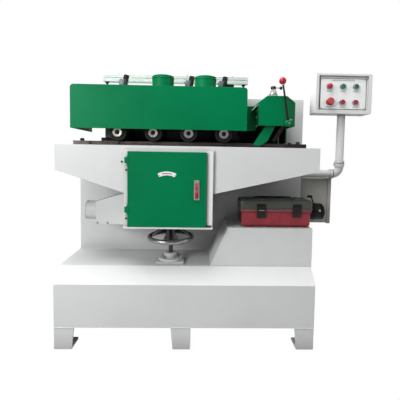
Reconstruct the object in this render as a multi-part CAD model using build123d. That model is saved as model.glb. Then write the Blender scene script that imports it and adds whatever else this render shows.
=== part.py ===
from build123d import *
from math import cos, pi, radians, sin
import os

# Multi rip saw: a table that rises and falls over a fixed saw spindle, under a hood with press rollers.
# Millimetres. X is along the feed, with the operator's right at +X, and Y is from the front to the rear.
# Z is up. The origin lies on the floor, at the centre of the four corner anchor holes.

# Fits and sheet thicknesses
running_gap = 0.05
free_gap = 0.3
plate_wall = 8.0
sheet_wall = 3.0
box_wall = 6.0

# Base and feet
base_length = 1338.0
base_depth = 1300.0
foot_height = 114.0
base_face_height = 225.0
base_slope_run = 70.0
base_slope_rise = 75.0
foot_top_width = 112.0
foot_bottom_width = 90.0
foot_depth = 90.0
foot_plate = 12.0
middle_foot_x = -20.0
anchor_hole_radius = 9.0
anchor_inset = 46.0

base_front = -base_depth / 2
deck_z = foot_height + base_face_height + base_slope_rise

# Column behind the table
column_left = -667.0
column_right = 696.0
column_front = base_front + 365.0
column_depth = 400.0
column_shoulder_z = 1040.0
upper_left = -515.0
upper_top_z = 1353.0
cover_sheet = 4.0
column_rear = column_front + column_depth

# Table casting with two tapered wings
table_left = -662.0
table_right = 675.0
table_front = base_front + 15.0
table_rear = column_front - 32.0
table_top_z = 1048.0
table_top_plate = 20.0
table_wall = 10.0
left_tip_z = 921.0
right_tip_z = 928.0
wing_root_z = 808.0
wing_root_step = 5.0
table_travel = 60.0

# Spindle box in the middle of the table, with its door
box_left = -315.0
box_right = 132.0
box_front = base_front
box_bottom_z = 633.0
box_top_z = table_top_z - table_top_plate
door_left = -293.0
door_right = 97.0
door_bottom_z = 643.0
door_top_z = 1018.0
door_depth = 18.0
door_sheet = 2.5
door_overlap = 9.0
ear_height = 30.0
ear_radius = 8.0
ear_upper_z = 974.0
ear_lower_z = 728.0
hinge_pin_radius = 4.0
knuckle_height = 7.0

# Saw spindle, blades and drive
spindle_x = -92.0
spindle_z = 860.0
quill_radius = 55.0
quill_flange_radius = 88.0
quill_flange_depth = 16.0
quill_nose = 43.0
spindle_radius = 25.0
arbor_radius = 20.0
clamp_flange_radius = 50.0
clamp_flange_depth = 12.0
blade_count = 6
blade_pitch = 32.0
blade_plate = 2.8
blade_radius = 200.0
blade_teeth = 28
gullet_depth = 15.0
spacer_radius = 38.0
nut_across = 60.0
nut_depth = 22.0
pulley_width = 76.0
pulley_gap = 14.0
spindle_pulley_radius = 75.0
motor_pulley_radius = 90.0
groove_count = 4
groove_pitch = 17.0
groove_top = 13.0
groove_bottom = 9.4
groove_depth = 11.0
belt_width = 8.8
belt_thickness = 8.0
motor_axis_height = 160.0
motor_radius = 138.0
motor_length = 330.0
motor_shaft_radius = 21.0
fin_count = 30
fin_height = 12.0

# Bed on the table
bed_left = -612.0
bed_right = 638.0
bed_front = base_front + 120.0
bed_plate = 24.0
throat_half = 185.0
slot_half = 165.0
slot_width = 7.0
fence_left = -527.0
fence_right = 330.0
fence_thickness = 15.0
fence_height = 28.0
bed_top_z = table_top_z + bed_plate

# Press rollers on their carriage
roller_count = 4
roller_first_x = -370.0
roller_pitch = 186.0
roller_radius = 45.0
roller_front = base_front + 95.0
roller_rear = base_front + 312.0
roller_ring_radius = 27.0
roller_ring_depth = 10.0
roller_shaft_radius = 15.0
carriage_plate = 15.0
carriage_left = -430.0
carriage_right = 250.0
carriage_travel = 60.0
yoke_bottom_z = 1185.0
yoke_thickness = 40.0
post_radius = 12.0

# Hood, its dust spigots and the overarm inside it
hood_left = -597.0
hood_right = 302.0
hood_front = base_front + 47.0
hood_bottom_z = 1133.0
hood_top_z = upper_top_z
hood_corner = 18.0
spigot_x = [-138.0, 87.0]
spigot_y = base_front + 130.0
spigot_radius = 57.0
spigot_height = 57.0
overarm_left = -420.0
overarm_right = 240.0
overarm_front = base_front + 215.0
overarm_bottom_z = 1292.0
cylinder_x = [-377.0, -7.0, 182.0]
cylinder_y = base_front + 240.0
cylinder_lean = 12.0
manifold_left = -531.0
manifold_right = 352.0
manifold_y = base_front + 400.0
manifold_bottom_z = 1444.0
manifold_size = 45.0

# Infeed housing, kickback fingers and lever
infeed_left = 371.0
infeed_right = 568.0
infeed_top_left = 410.0
infeed_top_right = 517.0
infeed_front = base_front + 80.0
infeed_bottom_z = 1165.0
infeed_top_z = 1319.0
infeed_side_z = 1289.0
infeed_bend_x = 502.0
infeed_bend_back = 30.0
infeed_sheet = 4.0
slope_left = 340.0
lever_x = 519.0
lever_z = 1176.0
lever_shaft_radius = 10.0
lever_hub_radius = 17.0
lever_length = 219.0
lever_lean = 9.7
lever_ball_radius = 18.5
finger_count = 8
finger_pitch = 26.0
finger_thickness = 14.0
finger_knuckle_radius = 17.0
finger_length = 112.0
finger_lean = 31.0
cup_x = 452.0
cup_y = base_front + 130.0

# Handwheel, nut, screw and the stand below
screw_y = base_front + 160.0
screw_radius = 12.0
wheel_radius = 125.0
wheel_rim_radius = 11.0
wheel_rim_z = 548.0
wheel_hub_radius = 26.0
wheel_hub_bottom_z = 568.0
nut_radius = 18.0
thrust_collar = 10.0
stand_plate = 150.0
stand_plate_thickness = 12.0
stand_flange_radius = 67.0
stand_collar_radius = 36.0
stand_collar_height = 24.0

# Dust funnel on the left of the spindle box
funnel_z = 691.0
funnel_y = base_front + 180.0
funnel_pipe_radius = 50.5
funnel_pipe_end = -560.0
funnel_pipe_root = -495.0
funnel_root_margin = 3.0
funnel_bottom_z = 646.0
funnel_top_z = 801.0
funnel_width = 200.0
funnel_sheet = 3.0
funnel_seam = 14.0

# Shelf, toolbox and feed drive
shelf_foot_x = 126.0
shelf_top_left = 219.0
shelf_right = 672.0
shelf_front = base_front + 75.0
shelf_top_z = 620.0
case_left = 291.0
case_right = 671.0
case_front = base_front + 98.0
case_depth = 140.0
case_split_z = 715.0
case_top_z = 768.0
case_wall = 4.0
lid_overhang = 6.0
latch_x = [398.0, 591.0]
latch_width = 54.0
feed_motor_right = 812.0
feed_motor_left = 560.0
feed_motor_y = base_front + 300.0
feed_motor_z = 674.0
feed_motor_radius = 50.0

# Electric cabinet on the right of the column
cabinet_right = 880.0
cabinet_front = base_front + 400.0
cabinet_depth = 300.0
cabinet_bottom_z = 586.0
cabinet_top_z = 866.0
cabinet_door_depth = 21.0

# Control box on its swivelling post
post_x = 944.0
post_y = base_front + 390.0
pipe_radius = 24.0
pipe_z = 900.0
elbow_radius = 46.0
collar_radius = 30.0
post_foot_z = 968.0
control_left = 755.0
control_width = 340.0
control_front = base_front + 320.0
control_depth = 100.0
control_bottom_z = 1268.0
control_height = 238.0
recess_depth = 14.0
panel_thickness = 3.0
button_columns = [82.0, 165.0, 245.0]
button_rows = [75.0, 169.0]
button_radius = 10.0
bezel_radius = 14.0
button_travel = 4.0
mushroom_radius = 20.0


def block(x0, x1, y0, y1, z0, z1):
    """A box between two corners."""
    centre = Pos((x0 + x1) / 2, (y0 + y1) / 2, (z0 + z1) / 2)
    return centre * Box(x1 - x0, y1 - y0, z1 - z0)


def prism_y(points, y0, y1):
    """An outline of (x, z) points, pushed from y0 to y1."""
    face = Plane.XZ * Polygon(*points, align=None)
    return Pos(0, y0, 0) * extrude(face, amount=y1 - y0, dir=(0, 1, 0))


def prism_x(points, x0, x1):
    """An outline of (y, z) points, pushed from x0 to x1."""
    face = Plane.YZ * Polygon(*points, align=None)
    return Pos(x0, 0, 0) * extrude(face, amount=x1 - x0, dir=(1, 0, 0))


def prism_z(points, z0, z1):
    """An outline of (x, y) points, pushed from z0 to z1."""
    return Pos(0, 0, z0) * extrude(Polygon(*points, align=None), amount=z1 - z0, dir=(0, 0, 1))


def rod_x(y, z, radius, x0, x1):
    """A round bar along X."""
    return Pos((x0 + x1) / 2, y, z) * Rot(0, 90, 0) * Cylinder(radius, x1 - x0)


def rod_y(x, z, radius, y0, y1):
    """A round bar along Y."""
    return Pos(x, (y0 + y1) / 2, z) * Rot(90, 0, 0) * Cylinder(radius, y1 - y0)


def rod_z(x, y, radius, z0, z1):
    """A round bar along Z."""
    return Pos(x, y, (z0 + z1) / 2) * Cylinder(radius, z1 - z0)


def turned_y(x, z, profile):
    """A profile of (radius, y) points, turned about a line along Y."""
    return Pos(x, 0, z) * revolve(Polygon(*profile, align=None), Axis.Y)


def turned_z(x, y, profile):
    """A profile of (radius, z) points, turned about a line along Z."""
    return Pos(x, y, 0) * revolve(Plane.XZ * Polygon(*profile, align=None), Axis.Z)


def save(node, *pieces):
    """Writes one sub-part, of one solid or of several alike."""
    shape = pieces[0] if len(pieces) == 1 else Compound(children=list(pieces))
    export_step(shape, f"parts/{node}.step")


def base_frame():
    """A plate box, open below, with a sloped front edge and two cross ribs."""
    half = base_length / 2
    rear = base_depth / 2
    face_top = foot_height + base_face_height
    slope_end = base_front + base_slope_run
    outline = [(base_front, foot_height), (base_front, face_top), (slope_end, deck_z), (rear, deck_z), (rear, foot_height)]
    body = prism_x(outline, -half, half)
    bay = (base_length - 4 * plate_wall) / 3
    inner = [
        (base_front + plate_wall, foot_height - 1),
        (base_front + plate_wall, face_top - plate_wall / 2),
        (slope_end + plate_wall / 2, deck_z - plate_wall),
        (rear - plate_wall, deck_z - plate_wall),
        (rear - plate_wall, foot_height - 1),
    ]
    for number in range(3):
        start = -half + plate_wall + number * (bay + plate_wall)
        body -= prism_x(inner, start, start + bay)
    return body


def foot(x_outer, x_inner, y_face, inward):
    """A tapered face plate, a web and a floor plate with its anchor hole. The taper is on the x_inner side."""
    side = 1 if x_inner > x_outer else -1
    taper = side * (foot_top_width - foot_bottom_width)
    face = [(x_outer, foot_height), (x_inner, foot_height), (x_inner - taper, 0), (x_outer, 0)]
    y_plate = sorted([y_face, y_face + inward * plate_wall])
    y_floor = sorted([y_face, y_face + inward * foot_depth])
    x_web = sorted([x_outer, x_outer + side * plate_wall])
    x_floor = sorted([x_outer, x_inner - taper])
    shape = prism_y(face, *y_plate)
    shape += block(*x_web, *y_floor, 0, foot_height)
    shape += block(*x_floor, *y_floor, 0, foot_plate)
    hole_x = x_outer + side * anchor_inset
    hole_y = y_face + inward * anchor_inset
    return shape - rod_z(hole_x, hole_y, anchor_hole_radius, -1, foot_plate + 1)


def feet():
    """Three feet under the front edge and three under the rear edge."""
    half = base_length / 2
    shapes = []
    for y_face, inward in [(base_front, 1), (base_depth / 2, -1)]:
        middle_outer = middle_foot_x + anchor_inset
        shapes.append(foot(-half, -half + foot_top_width, y_face, inward))
        shapes.append(foot(middle_outer, middle_outer - foot_top_width, y_face, inward))
        shapes.append(foot(half, half - foot_top_width, y_face, inward))
    return shapes


def column_outline(inset):
    """The column seen from the front: a wide foot and a narrower upper part."""
    return [
        (column_left + inset, deck_z + inset),
        (column_right - inset, deck_z + inset),
        (column_right - inset, upper_top_z - inset),
        (upper_left + inset, upper_top_z - inset),
        (upper_left + inset, column_shoulder_z - inset),
        (column_left + inset, column_shoulder_z - inset),
    ]


def column():
    """A folded housing, open at the rear, with the seat of the spindle quill in its front wall."""
    body = prism_y(column_outline(0), column_front, column_rear)
    body -= prism_y(column_outline(box_wall), column_front + box_wall, column_rear + 1)
    return body - rod_y(spindle_x, spindle_z, quill_radius, column_front - 1, column_front + box_wall + 1)


def rear_cover():
    """The sheet that closes the column's rear."""
    sheet = prism_y(column_outline(2), column_rear, column_rear + cover_sheet)
    return sheet - rod_y(spindle_x, spindle_z, quill_radius, column_rear - 1, column_rear + cover_sheet + 1)


def slide_rails():
    """Two dovetail rails on the column's front."""
    return [slide_rail(x) for x in slide_x]


def slide_rail(x):
    outline = dovetail(x, 0)
    return prism_z(outline, rail_bottom_z, rail_top_z)


def dovetail(x, gap):
    """The rail's section, wider at its front than at the column, grown by gap."""
    front = column_front - rail_depth - gap
    return [
        (x - rail_root / 2 - gap, column_front),
        (x + rail_root / 2 + gap, column_front),
        (x + rail_head / 2 + gap, front),
        (x - rail_head / 2 - gap, front),
    ]


def gib_blocks():
    """Two blocks on the table's rear that run on the rails."""
    blocks = []
    for x in slide_x:
        body = block(x - gib_width / 2, x + gib_width / 2, table_rear, table_rear + gib_depth, gib_bottom_z, gib_top_z)
        groove = prism_z(dovetail(x, free_gap / 2), gib_bottom_z - 1, gib_top_z + 1)
        blocks.append(body - groove)
    return blocks


slide_x = [-420.0, 250.0]
rail_depth = 22.0
rail_root = 40.0
rail_head = 58.0
gib_width = 96.0
gib_depth = 25.0
gib_bottom_z = 872.0
gib_top_z = 1026.0
rail_bottom_z = gib_bottom_z - table_travel - 12.0
rail_top_z = 1038.0


def table_outline():
    """The table's front view: two wings that taper to their tips."""
    return [
        (table_left, table_top_z),
        (table_left, left_tip_z),
        (box_left - wing_root_step, wing_root_z),
        (box_right + wing_root_step, wing_root_z),
        (table_right, right_tip_z),
        (table_right, table_top_z),
    ]


def table_frame():
    """A casting, open below, with a bay for the spindle box and a rib in its long wing."""
    body = prism_y(table_outline(), table_front, table_rear)
    under = table_top_z - table_top_plate
    y0 = table_front + table_wall
    y1 = table_rear - table_wall
    rib_x = (box_right + table_right) / 2
    bays = [
        (table_left + table_wall, box_left - table_wall),
        (box_right + table_wall, rib_x - plate_wall / 2),
        (rib_x + plate_wall / 2, table_right - table_wall),
    ]
    for x0, x1 in bays:
        body -= block(x0, x1, y0, y1, wing_root_z - 1, under)
    body -= block(rib_x - plate_wall, rib_x + plate_wall, y0, y1, wing_root_z - 1, right_tip_z)
    body -= block(box_left, box_right, table_front - 1, table_rear + 1, wing_root_z - 1, under)
    throat = block(
        spindle_x - throat_half + 5,
        spindle_x + throat_half - 5,
        first_blade_y - 12,
        last_blade_y + 12,
        under - 1,
        table_top_z + 1,
    )
    return body - throat


def spindle_box():
    """A sheet box round the blades, open at its top, with a door frame, hinge pins and a slot for the quill."""
    body = block(box_left, box_right, box_front, box_rear, box_bottom_z, box_top_z)
    body -= block(
        box_left + box_wall,
        box_right - box_wall,
        box_front + box_wall,
        box_rear - box_wall,
        box_bottom_z + box_wall,
        box_top_z + 1,
    )
    body -= block(
        door_left + door_overlap,
        door_right - door_overlap,
        box_front - 1,
        box_front + box_wall + 1,
        door_bottom_z + door_overlap,
        door_top_z - door_overlap,
    )
    slot_radius = quill_radius + 18
    low = spindle_z
    high = spindle_z + table_travel
    y0 = box_rear - box_wall - 1
    y1 = box_rear + 1
    body -= rod_y(spindle_x, low, slot_radius, y0, y1)
    body -= rod_y(spindle_x, high, slot_radius, y0, y1)
    body -= block(spindle_x - slot_radius, spindle_x + slot_radius, y0, y1, low, high)
    body -= funnel_mouth()
    body -= rod_z(spindle_x, screw_y, screw_radius + 2, box_bottom_z - 1, box_bottom_z + box_wall + 1)
    lip = block(box_left, box_right, box_front - door_depth, box_front, box_bottom_z, door_bottom_z - 1.5)
    body += lip
    for centre_z in [ear_upper_z, ear_lower_z]:
        body += hinge_knuckles(centre_z)
    return body


def hinge_knuckles(centre_z):
    """Two lugs on the box's front with a pin between them, on which the door's ear turns."""
    low = centre_z - ear_height / 2
    high = centre_z + ear_height / 2
    shape = rod_z(hinge_x, hinge_y, hinge_pin_radius, low - knuckle_height, high + knuckle_height)
    for z0 in [low - knuckle_height, high + free_gap]:
        z1 = z0 + knuckle_height - free_gap
        shape += block(hinge_x - ear_radius, hinge_x + ear_radius - 1, hinge_y, box_front, z0, z1)
        shape += rod_z(hinge_x, hinge_y, ear_radius - 1, z0, z1)
    return shape


box_rear = table_rear - 6.0
hinge_x = door_left - 9.0
hinge_y = box_front - door_depth / 2


def access_door():
    """A folded sheet door with two hinge ears on its left edge."""
    front = box_front - door_depth
    body = block(door_left, door_right, front, box_front, door_bottom_z, door_top_z)
    body -= block(
        door_left + door_sheet,
        door_right - door_sheet,
        front + door_sheet,
        box_front + 1,
        door_bottom_z + door_sheet,
        door_top_z - door_sheet,
    )
    for centre_z in [ear_upper_z, ear_lower_z]:
        low = centre_z - ear_height / 2
        high = centre_z + ear_height / 2
        ear = rod_z(hinge_x, hinge_y, ear_radius, low, high)
        ear += block(hinge_x, door_left + door_sheet, front, front + 7, low, high)
        body += ear
        body -= rod_z(hinge_x, hinge_y, hinge_pin_radius + running_gap, low - 1, high + 1)
    return body


first_blade_y = base_front + 143.2
last_blade_y = first_blade_y + (blade_count - 1) * blade_pitch + blade_plate
flange_rear = last_blade_y + clamp_flange_depth
quill_front = column_front - quill_nose


def spindle_housing():
    """The quill that carries the spindle, with its bolting flange on the column."""
    rear = column_rear + cover_sheet + 6
    flange_front = column_front - quill_flange_depth
    profile = [
        (spindle_radius + running_gap, quill_front),
        (quill_radius - 6, quill_front),
        (quill_radius, quill_front + 6),
        (quill_radius, flange_front),
        (quill_flange_radius, flange_front),
        (quill_flange_radius, column_front),
        (quill_radius, column_front),
        (quill_radius, rear),
        (spindle_radius + running_gap, rear),
    ]
    return turned_y(spindle_x, spindle_z, profile)


pulley_front = column_rear + cover_sheet + pulley_gap
pulley_rear = pulley_front + pulley_width


def saw_spindle():
    """The shaft, with the fixed clamp flange behind the blades and the pulley seat at its rear."""
    tip = first_blade_y - clamp_flange_depth - nut_depth - 10
    profile = [
        (0, tip),
        (arbor_radius - 3, tip),
        (arbor_radius, tip + 3),
        (arbor_radius, last_blade_y),
        (clamp_flange_radius, last_blade_y),
        (clamp_flange_radius, flange_rear),
        (spindle_radius, flange_rear),
        (spindle_radius, pulley_front - 4),
        (arbor_radius, pulley_front - 4),
        (arbor_radius, pulley_rear + 4),
        (0, pulley_rear + 4),
    ]
    return turned_y(spindle_x, spindle_z, profile)


def blade_outline():
    """Tooth by tooth: tip, back, gullet floor. Rake faces look the way the blade's top runs, against the feed."""
    step = 2 * pi / blade_teeth
    corners = [(blade_radius, 0.0), (blade_radius - 5, 0.42), (blade_radius - gullet_depth, 0.64)]
    corners.append((blade_radius - gullet_depth + 1, 0.9))
    points = []
    for tooth in range(blade_teeth):
        for radius, share in corners:
            angle = step * (tooth + share)
            points.append((radius * cos(angle), radius * sin(angle)))
    return points


def saw_blades():
    """Identical thin blades with teeth and four wiper slots each."""
    face = Plane.XZ * Polygon(*blade_outline(), align=None)
    blade = extrude(face, amount=blade_plate, dir=(0, 1, 0))
    blade -= rod_y(0, 0, arbor_radius, -1, blade_plate + 1)
    for quarter in range(4):
        slot = Rot(0, 45 + 90 * quarter, 0) * block(105, 160, -1, blade_plate + 1, -4, 4)
        blade -= slot
    return [Pos(spindle_x, first_blade_y + n * blade_pitch, spindle_z) * blade for n in range(blade_count)]


def spindle_collars():
    """Spacer rings between the blades, the loose clamp flange and the nut."""
    rings = []
    for number in range(blade_count - 1):
        y0 = first_blade_y + number * blade_pitch + blade_plate
        y1 = first_blade_y + (number + 1) * blade_pitch
        ring = rod_y(spindle_x, spindle_z, spacer_radius, y0, y1)
        rings.append(ring - rod_y(spindle_x, spindle_z, arbor_radius, y0 - 1, y1 + 1))
    y0 = first_blade_y - clamp_flange_depth
    flange = rod_y(spindle_x, spindle_z, clamp_flange_radius, y0, first_blade_y)
    rings.append(flange - rod_y(spindle_x, spindle_z, arbor_radius, y0 - 1, first_blade_y + 1))
    hexagon = extrude(Plane.XZ * RegularPolygon(nut_across / 2, 6, major_radius=False), amount=nut_depth, dir=(0, 1, 0))
    nut = Pos(spindle_x, y0 - nut_depth, spindle_z) * hexagon
    rings.append(nut - rod_y(spindle_x, spindle_z, arbor_radius, y0 - nut_depth - 1, y0 + 1))
    return rings


def pulley_profile(radius, bore):
    """A grooved pulley's half section, as (radius, y) points."""
    points = [(bore, pulley_front), (radius, pulley_front)]
    middle = (pulley_front + pulley_rear) / 2
    for number in range(groove_count):
        y = middle + (number - (groove_count - 1) / 2) * groove_pitch
        points.append((radius, y - groove_top / 2))
        points.append((radius - groove_depth, y - groove_bottom / 2))
        points.append((radius - groove_depth, y + groove_bottom / 2))
        points.append((radius, y + groove_top / 2))
    points += [(radius, pulley_rear), (bore, pulley_rear)]
    return points


def spindle_pulley():
    return turned_y(spindle_x, spindle_z, pulley_profile(spindle_pulley_radius, arbor_radius))


motor_z = deck_z + motor_axis_height
guard_depth = pulley_width + pulley_gap + 14
guard_rear = column_rear + cover_sheet + guard_depth
motor_front = guard_rear + 14


def motor_pulley():
    """The motor's pulley on its shaft end."""
    profile = pulley_profile(motor_pulley_radius, 0)
    shaft = rod_y(spindle_x, motor_z, motor_shaft_radius, pulley_rear, motor_front + 30)
    return turned_y(spindle_x, motor_z, profile) + shaft


def belt_loop(y, inset):
    """One flat band round both pulleys, centred at y."""
    loops = []
    for extra in [belt_thickness, 0]:
        top = Circle(spindle_pulley_radius - inset + extra).edges()
        low = (Pos(0, motor_z - spindle_z) * Circle(motor_pulley_radius - inset + extra)).edges()
        hull = make_hull(top + low)
        loops.append(hull)
    band = loops[0] - loops[1]
    solid = extrude(Plane.XZ * band, amount=belt_width, dir=(0, 1, 0))
    return Pos(spindle_x, y - belt_width / 2, spindle_z) * solid


def drive_belts():
    """One belt in each groove."""
    middle = (pulley_front + pulley_rear) / 2
    inset = groove_depth - free_gap
    return [belt_loop(middle + (n - (groove_count - 1) / 2) * groove_pitch, inset) for n in range(groove_count)]


def belt_guard():
    """A sheet cover round pulleys and belts, open towards the column."""
    reach = motor_pulley_radius + 34
    shells = []
    for inset in [0, sheet_wall]:
        top = Circle(reach - inset).edges()
        low = (Pos(0, motor_z - spindle_z) * Circle(reach - inset)).edges()
        depth = guard_depth - inset
        shell = extrude(Plane.XZ * make_hull(top + low), amount=depth, dir=(0, 1, 0))
        shells.append(Pos(spindle_x, column_rear + cover_sheet, spindle_z) * shell)
    body = shells[0] - shells[1]
    return body - rod_y(spindle_x, motor_z, motor_shaft_radius + 8, guard_rear - 10, guard_rear + 1)


def main_motor():
    """A finned motor on feet, with its terminal box and fan cowl."""
    rear = motor_front + motor_length
    frame = rod_y(spindle_x, motor_z, motor_radius - fin_height, motor_front, rear)
    for y in [motor_front, rear - 24]:
        frame += rod_y(spindle_x, motor_z, motor_radius, y, y + 24)
    fin = block(0, motor_radius - 1, motor_front + 20, rear - 20, -2.5, 2.5)
    for number in range(fin_count):
        frame += Pos(spindle_x, 0, motor_z) * Rot(0, 360 / fin_count * (number + 0.5), 0) * fin
    for y in [motor_front + 40, rear - 110]:
        frame += block(spindle_x - 130, spindle_x + 130, y, y + 70, deck_z, deck_z + 60)
    frame += block(spindle_x + 60, spindle_x + 170, motor_front + 60, motor_front + 200, motor_z + 70, motor_z + 150)
    frame -= rod_y(spindle_x, motor_z, motor_shaft_radius + running_gap, motor_front - 1, motor_front + 31)
    cowl = turned_y(
        spindle_x,
        motor_z,
        [(0, rear), (motor_radius, rear), (motor_radius, rear + 62), (motor_radius - 22, rear + 84), (0, rear + 84)],
    )
    return [frame, cowl]


def bed_plates():
    """Outfeed plate, slotted throat plate and infeed plate on the table."""
    z0 = table_top_z
    left = block(bed_left, spindle_x - throat_half, bed_front, table_rear, z0, bed_top_z)
    right = block(spindle_x + throat_half, bed_right, bed_front, table_rear, z0, bed_top_z)
    throat = block(spindle_x - throat_half, spindle_x + throat_half, bed_front, table_rear, z0, bed_top_z)
    for number in range(blade_count):
        y = first_blade_y + number * blade_pitch + blade_plate / 2
        throat -= block(
            spindle_x - slot_half, spindle_x + slot_half, y - slot_width / 2, y + slot_width / 2, z0 - 1, bed_top_z + 1
        )
    return [left, throat, right]


def rear_fence():
    """The guide bar along the bed's rear edge, with lead-in ends."""
    front = table_rear - fence_thickness
    outline = [
        (fence_left, table_rear),
        (fence_left, front + 8),
        (fence_left + 30, front),
        (fence_right - 30, front),
        (fence_right, front + 8),
        (fence_right, table_rear),
    ]
    return prism_z(outline, bed_top_z, bed_top_z + fence_height)


def funnel_rectangle(x, y0, y1, z0, z1, inset):
    """A face across the funnel at x, drawn in from the given edges by inset."""
    plane = Plane(origin=(x, (y0 + y1) / 2, (z0 + z1) / 2), x_dir=(0, 1, 0), z_dir=(-1, 0, 0))
    return plane * Rectangle(y1 - y0 - 2 * inset, z1 - z0 - 2 * inset)


def funnel_solid(inset, start_x, end_x):
    """The funnel's outer or inner form: from the square round the neck to the wide mouth at the box."""
    reach = funnel_pipe_radius + funnel_root_margin
    half = funnel_width / 2
    near = funnel_rectangle(start_x, funnel_y - reach, funnel_y + reach, funnel_z - reach, funnel_z + reach, inset)
    far = funnel_rectangle(end_x, funnel_y - half, funnel_y + half, funnel_bottom_z, funnel_top_z, inset)
    return loft([near, far])


def funnel_mouth():
    """The block of air where the funnel meets the box's side wall."""
    half = funnel_width / 2 - funnel_sheet
    low = funnel_bottom_z + funnel_sheet
    high = funnel_top_z - funnel_sheet
    return block(box_left - plate_wall - 1, box_left + box_wall + 1, funnel_y - half, funnel_y + half, low, high)


def funnel_seam_strip():
    """The bolted seam that hangs below the funnel's front edge."""
    reach = funnel_pipe_radius + funnel_root_margin
    start = Vector(funnel_pipe_root, funnel_y - reach, funnel_z - reach)
    end = Vector(box_left - plate_wall, funnel_y - funnel_width / 2, funnel_bottom_z)
    run = end - start
    plane = Plane(origin=start, x_dir=run, z_dir=run.cross(Vector(0, 0, 1)))
    strip = plane * Polygon((0, 1), (run.length, 1), (run.length, -funnel_seam), (0, -funnel_seam), align=None)
    return extrude(strip, amount=-funnel_sheet, dir=Vector(0, -1, 0))


def dust_funnel():
    """Sheet funnel with a bolting flange on the box, a seam strip and a hose neck."""
    half = funnel_width / 2 + 12
    shape = funnel_solid(0, funnel_pipe_root, box_left - plate_wall)
    shape += rod_x(funnel_y, funnel_z, funnel_pipe_radius, funnel_pipe_end, funnel_pipe_root + funnel_sheet)
    shape += block(box_left - plate_wall, box_left, funnel_y - half, funnel_y + half, box_bottom_z, funnel_top_z + 4)
    shape += funnel_seam_strip()
    shape -= funnel_solid(funnel_sheet, funnel_pipe_root + funnel_sheet, box_left - plate_wall)
    bore_end = funnel_pipe_root + funnel_sheet + 0.5
    shape -= rod_x(funnel_y, funnel_z, funnel_pipe_radius - funnel_sheet, funnel_pipe_end - 1, bore_end)
    return shape - funnel_mouth()


def thrust_stand():
    """The stand on the deck that holds the screw's foot."""
    plate_top = deck_z + stand_plate_thickness
    flange_top = plate_top + stand_plate_thickness
    half = stand_plate / 2
    body = block(spindle_x - half, spindle_x + half, screw_y - 65, screw_y + 65, deck_z, plate_top)
    body += rod_z(spindle_x, screw_y, stand_flange_radius, plate_top, flange_top)
    body += rod_z(spindle_x, screw_y, stand_collar_radius, flange_top, flange_top + stand_collar_height)
    return body - rod_z(spindle_x, screw_y, screw_radius, deck_z + 4, flange_top + stand_collar_height + 1)


def lift_screw():
    """The fixed upright screw."""
    body = rod_z(spindle_x, screw_y, screw_radius, deck_z + 4, box_bottom_z + 22)
    return chamfer(body.edges().group_by(Axis.Z)[-1], 2)


nut_top_z = box_bottom_z - free_gap


def handwheel():
    """A dished wheel: round rim, three spokes that rise to the hub."""
    rim_track = wheel_radius - wheel_rim_radius
    rim = Pos(spindle_x, screw_y, wheel_rim_z) * Torus(rim_track, wheel_rim_radius)
    hub_top = nut_top_z - thrust_collar
    hub_profile = [
        (nut_radius, wheel_hub_bottom_z),
        (wheel_hub_radius, wheel_hub_bottom_z),
        (wheel_hub_radius, hub_top - 6),
        (wheel_hub_radius - 4, hub_top),
        (nut_radius, hub_top),
    ]
    wheel = turned_z(spindle_x, screw_y, hub_profile)
    spoke_outline = [
        (wheel_hub_radius - 4, hub_top - 30),
        (wheel_hub_radius - 4, hub_top - 12),
        (rim_track, wheel_rim_z + 6),
        (rim_track, wheel_rim_z - 4),
    ]
    spoke = extrude(Plane.XZ * Polygon(*spoke_outline, align=None), amount=13, both=True)
    for number in range(3):
        wheel += Pos(spindle_x, screw_y, 0) * Rot(0, 0, 35 + 120 * number) * spoke
    return wheel + rim


def lift_nut():
    """The bronze nut in the hub. Its collar carries the table box from below."""
    profile = [
        (screw_radius + running_gap, wheel_hub_bottom_z),
        (nut_radius, wheel_hub_bottom_z),
        (nut_radius, nut_top_z - thrust_collar),
        (wheel_hub_radius + 6, nut_top_z - thrust_collar),
        (wheel_hub_radius + 6, nut_top_z),
        (screw_radius + running_gap, nut_top_z),
    ]
    return turned_z(spindle_x, screw_y, profile)


roller_z = bed_top_z + roller_radius + 0.5
plate_front = table_rear + 4.0
roller_x = [roller_first_x + n * roller_pitch for n in range(roller_count)]


def press_roller(x):
    """Rubber tyre on a steel core whose front end shows a bright ring, and whose shaft runs in the carriage."""
    shaft_end = plate_front + carriage_plate + 5
    core = [
        (0, roller_front - roller_ring_depth + 5),
        (9, roller_front - roller_ring_depth + 5),
        (9, roller_front - roller_ring_depth),
        (roller_ring_radius, roller_front - roller_ring_depth),
        (roller_ring_radius, roller_front),
        (roller_radius - 10, roller_front),
        (roller_radius - 10, roller_rear),
        (roller_shaft_radius, roller_rear),
        (roller_shaft_radius, shaft_end),
        (0, shaft_end),
    ]
    tyre = [
        (roller_radius - 10, roller_front),
        (roller_radius - 3, roller_front),
        (roller_radius, roller_front + 3),
        (roller_radius, roller_rear - 3),
        (roller_radius - 3, roller_rear),
        (roller_radius - 10, roller_rear),
    ]
    return [turned_y(x, roller_z, core), turned_y(x, roller_z, tyre)]


post_x_pair = [roller_x[0] + roller_pitch / 2, roller_x[2] + roller_pitch / 2]
guide_post_y = base_front + 275.0
yoke_front = base_front + 225.0
carriage_bottom_z = bed_top_z + 8.0


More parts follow.
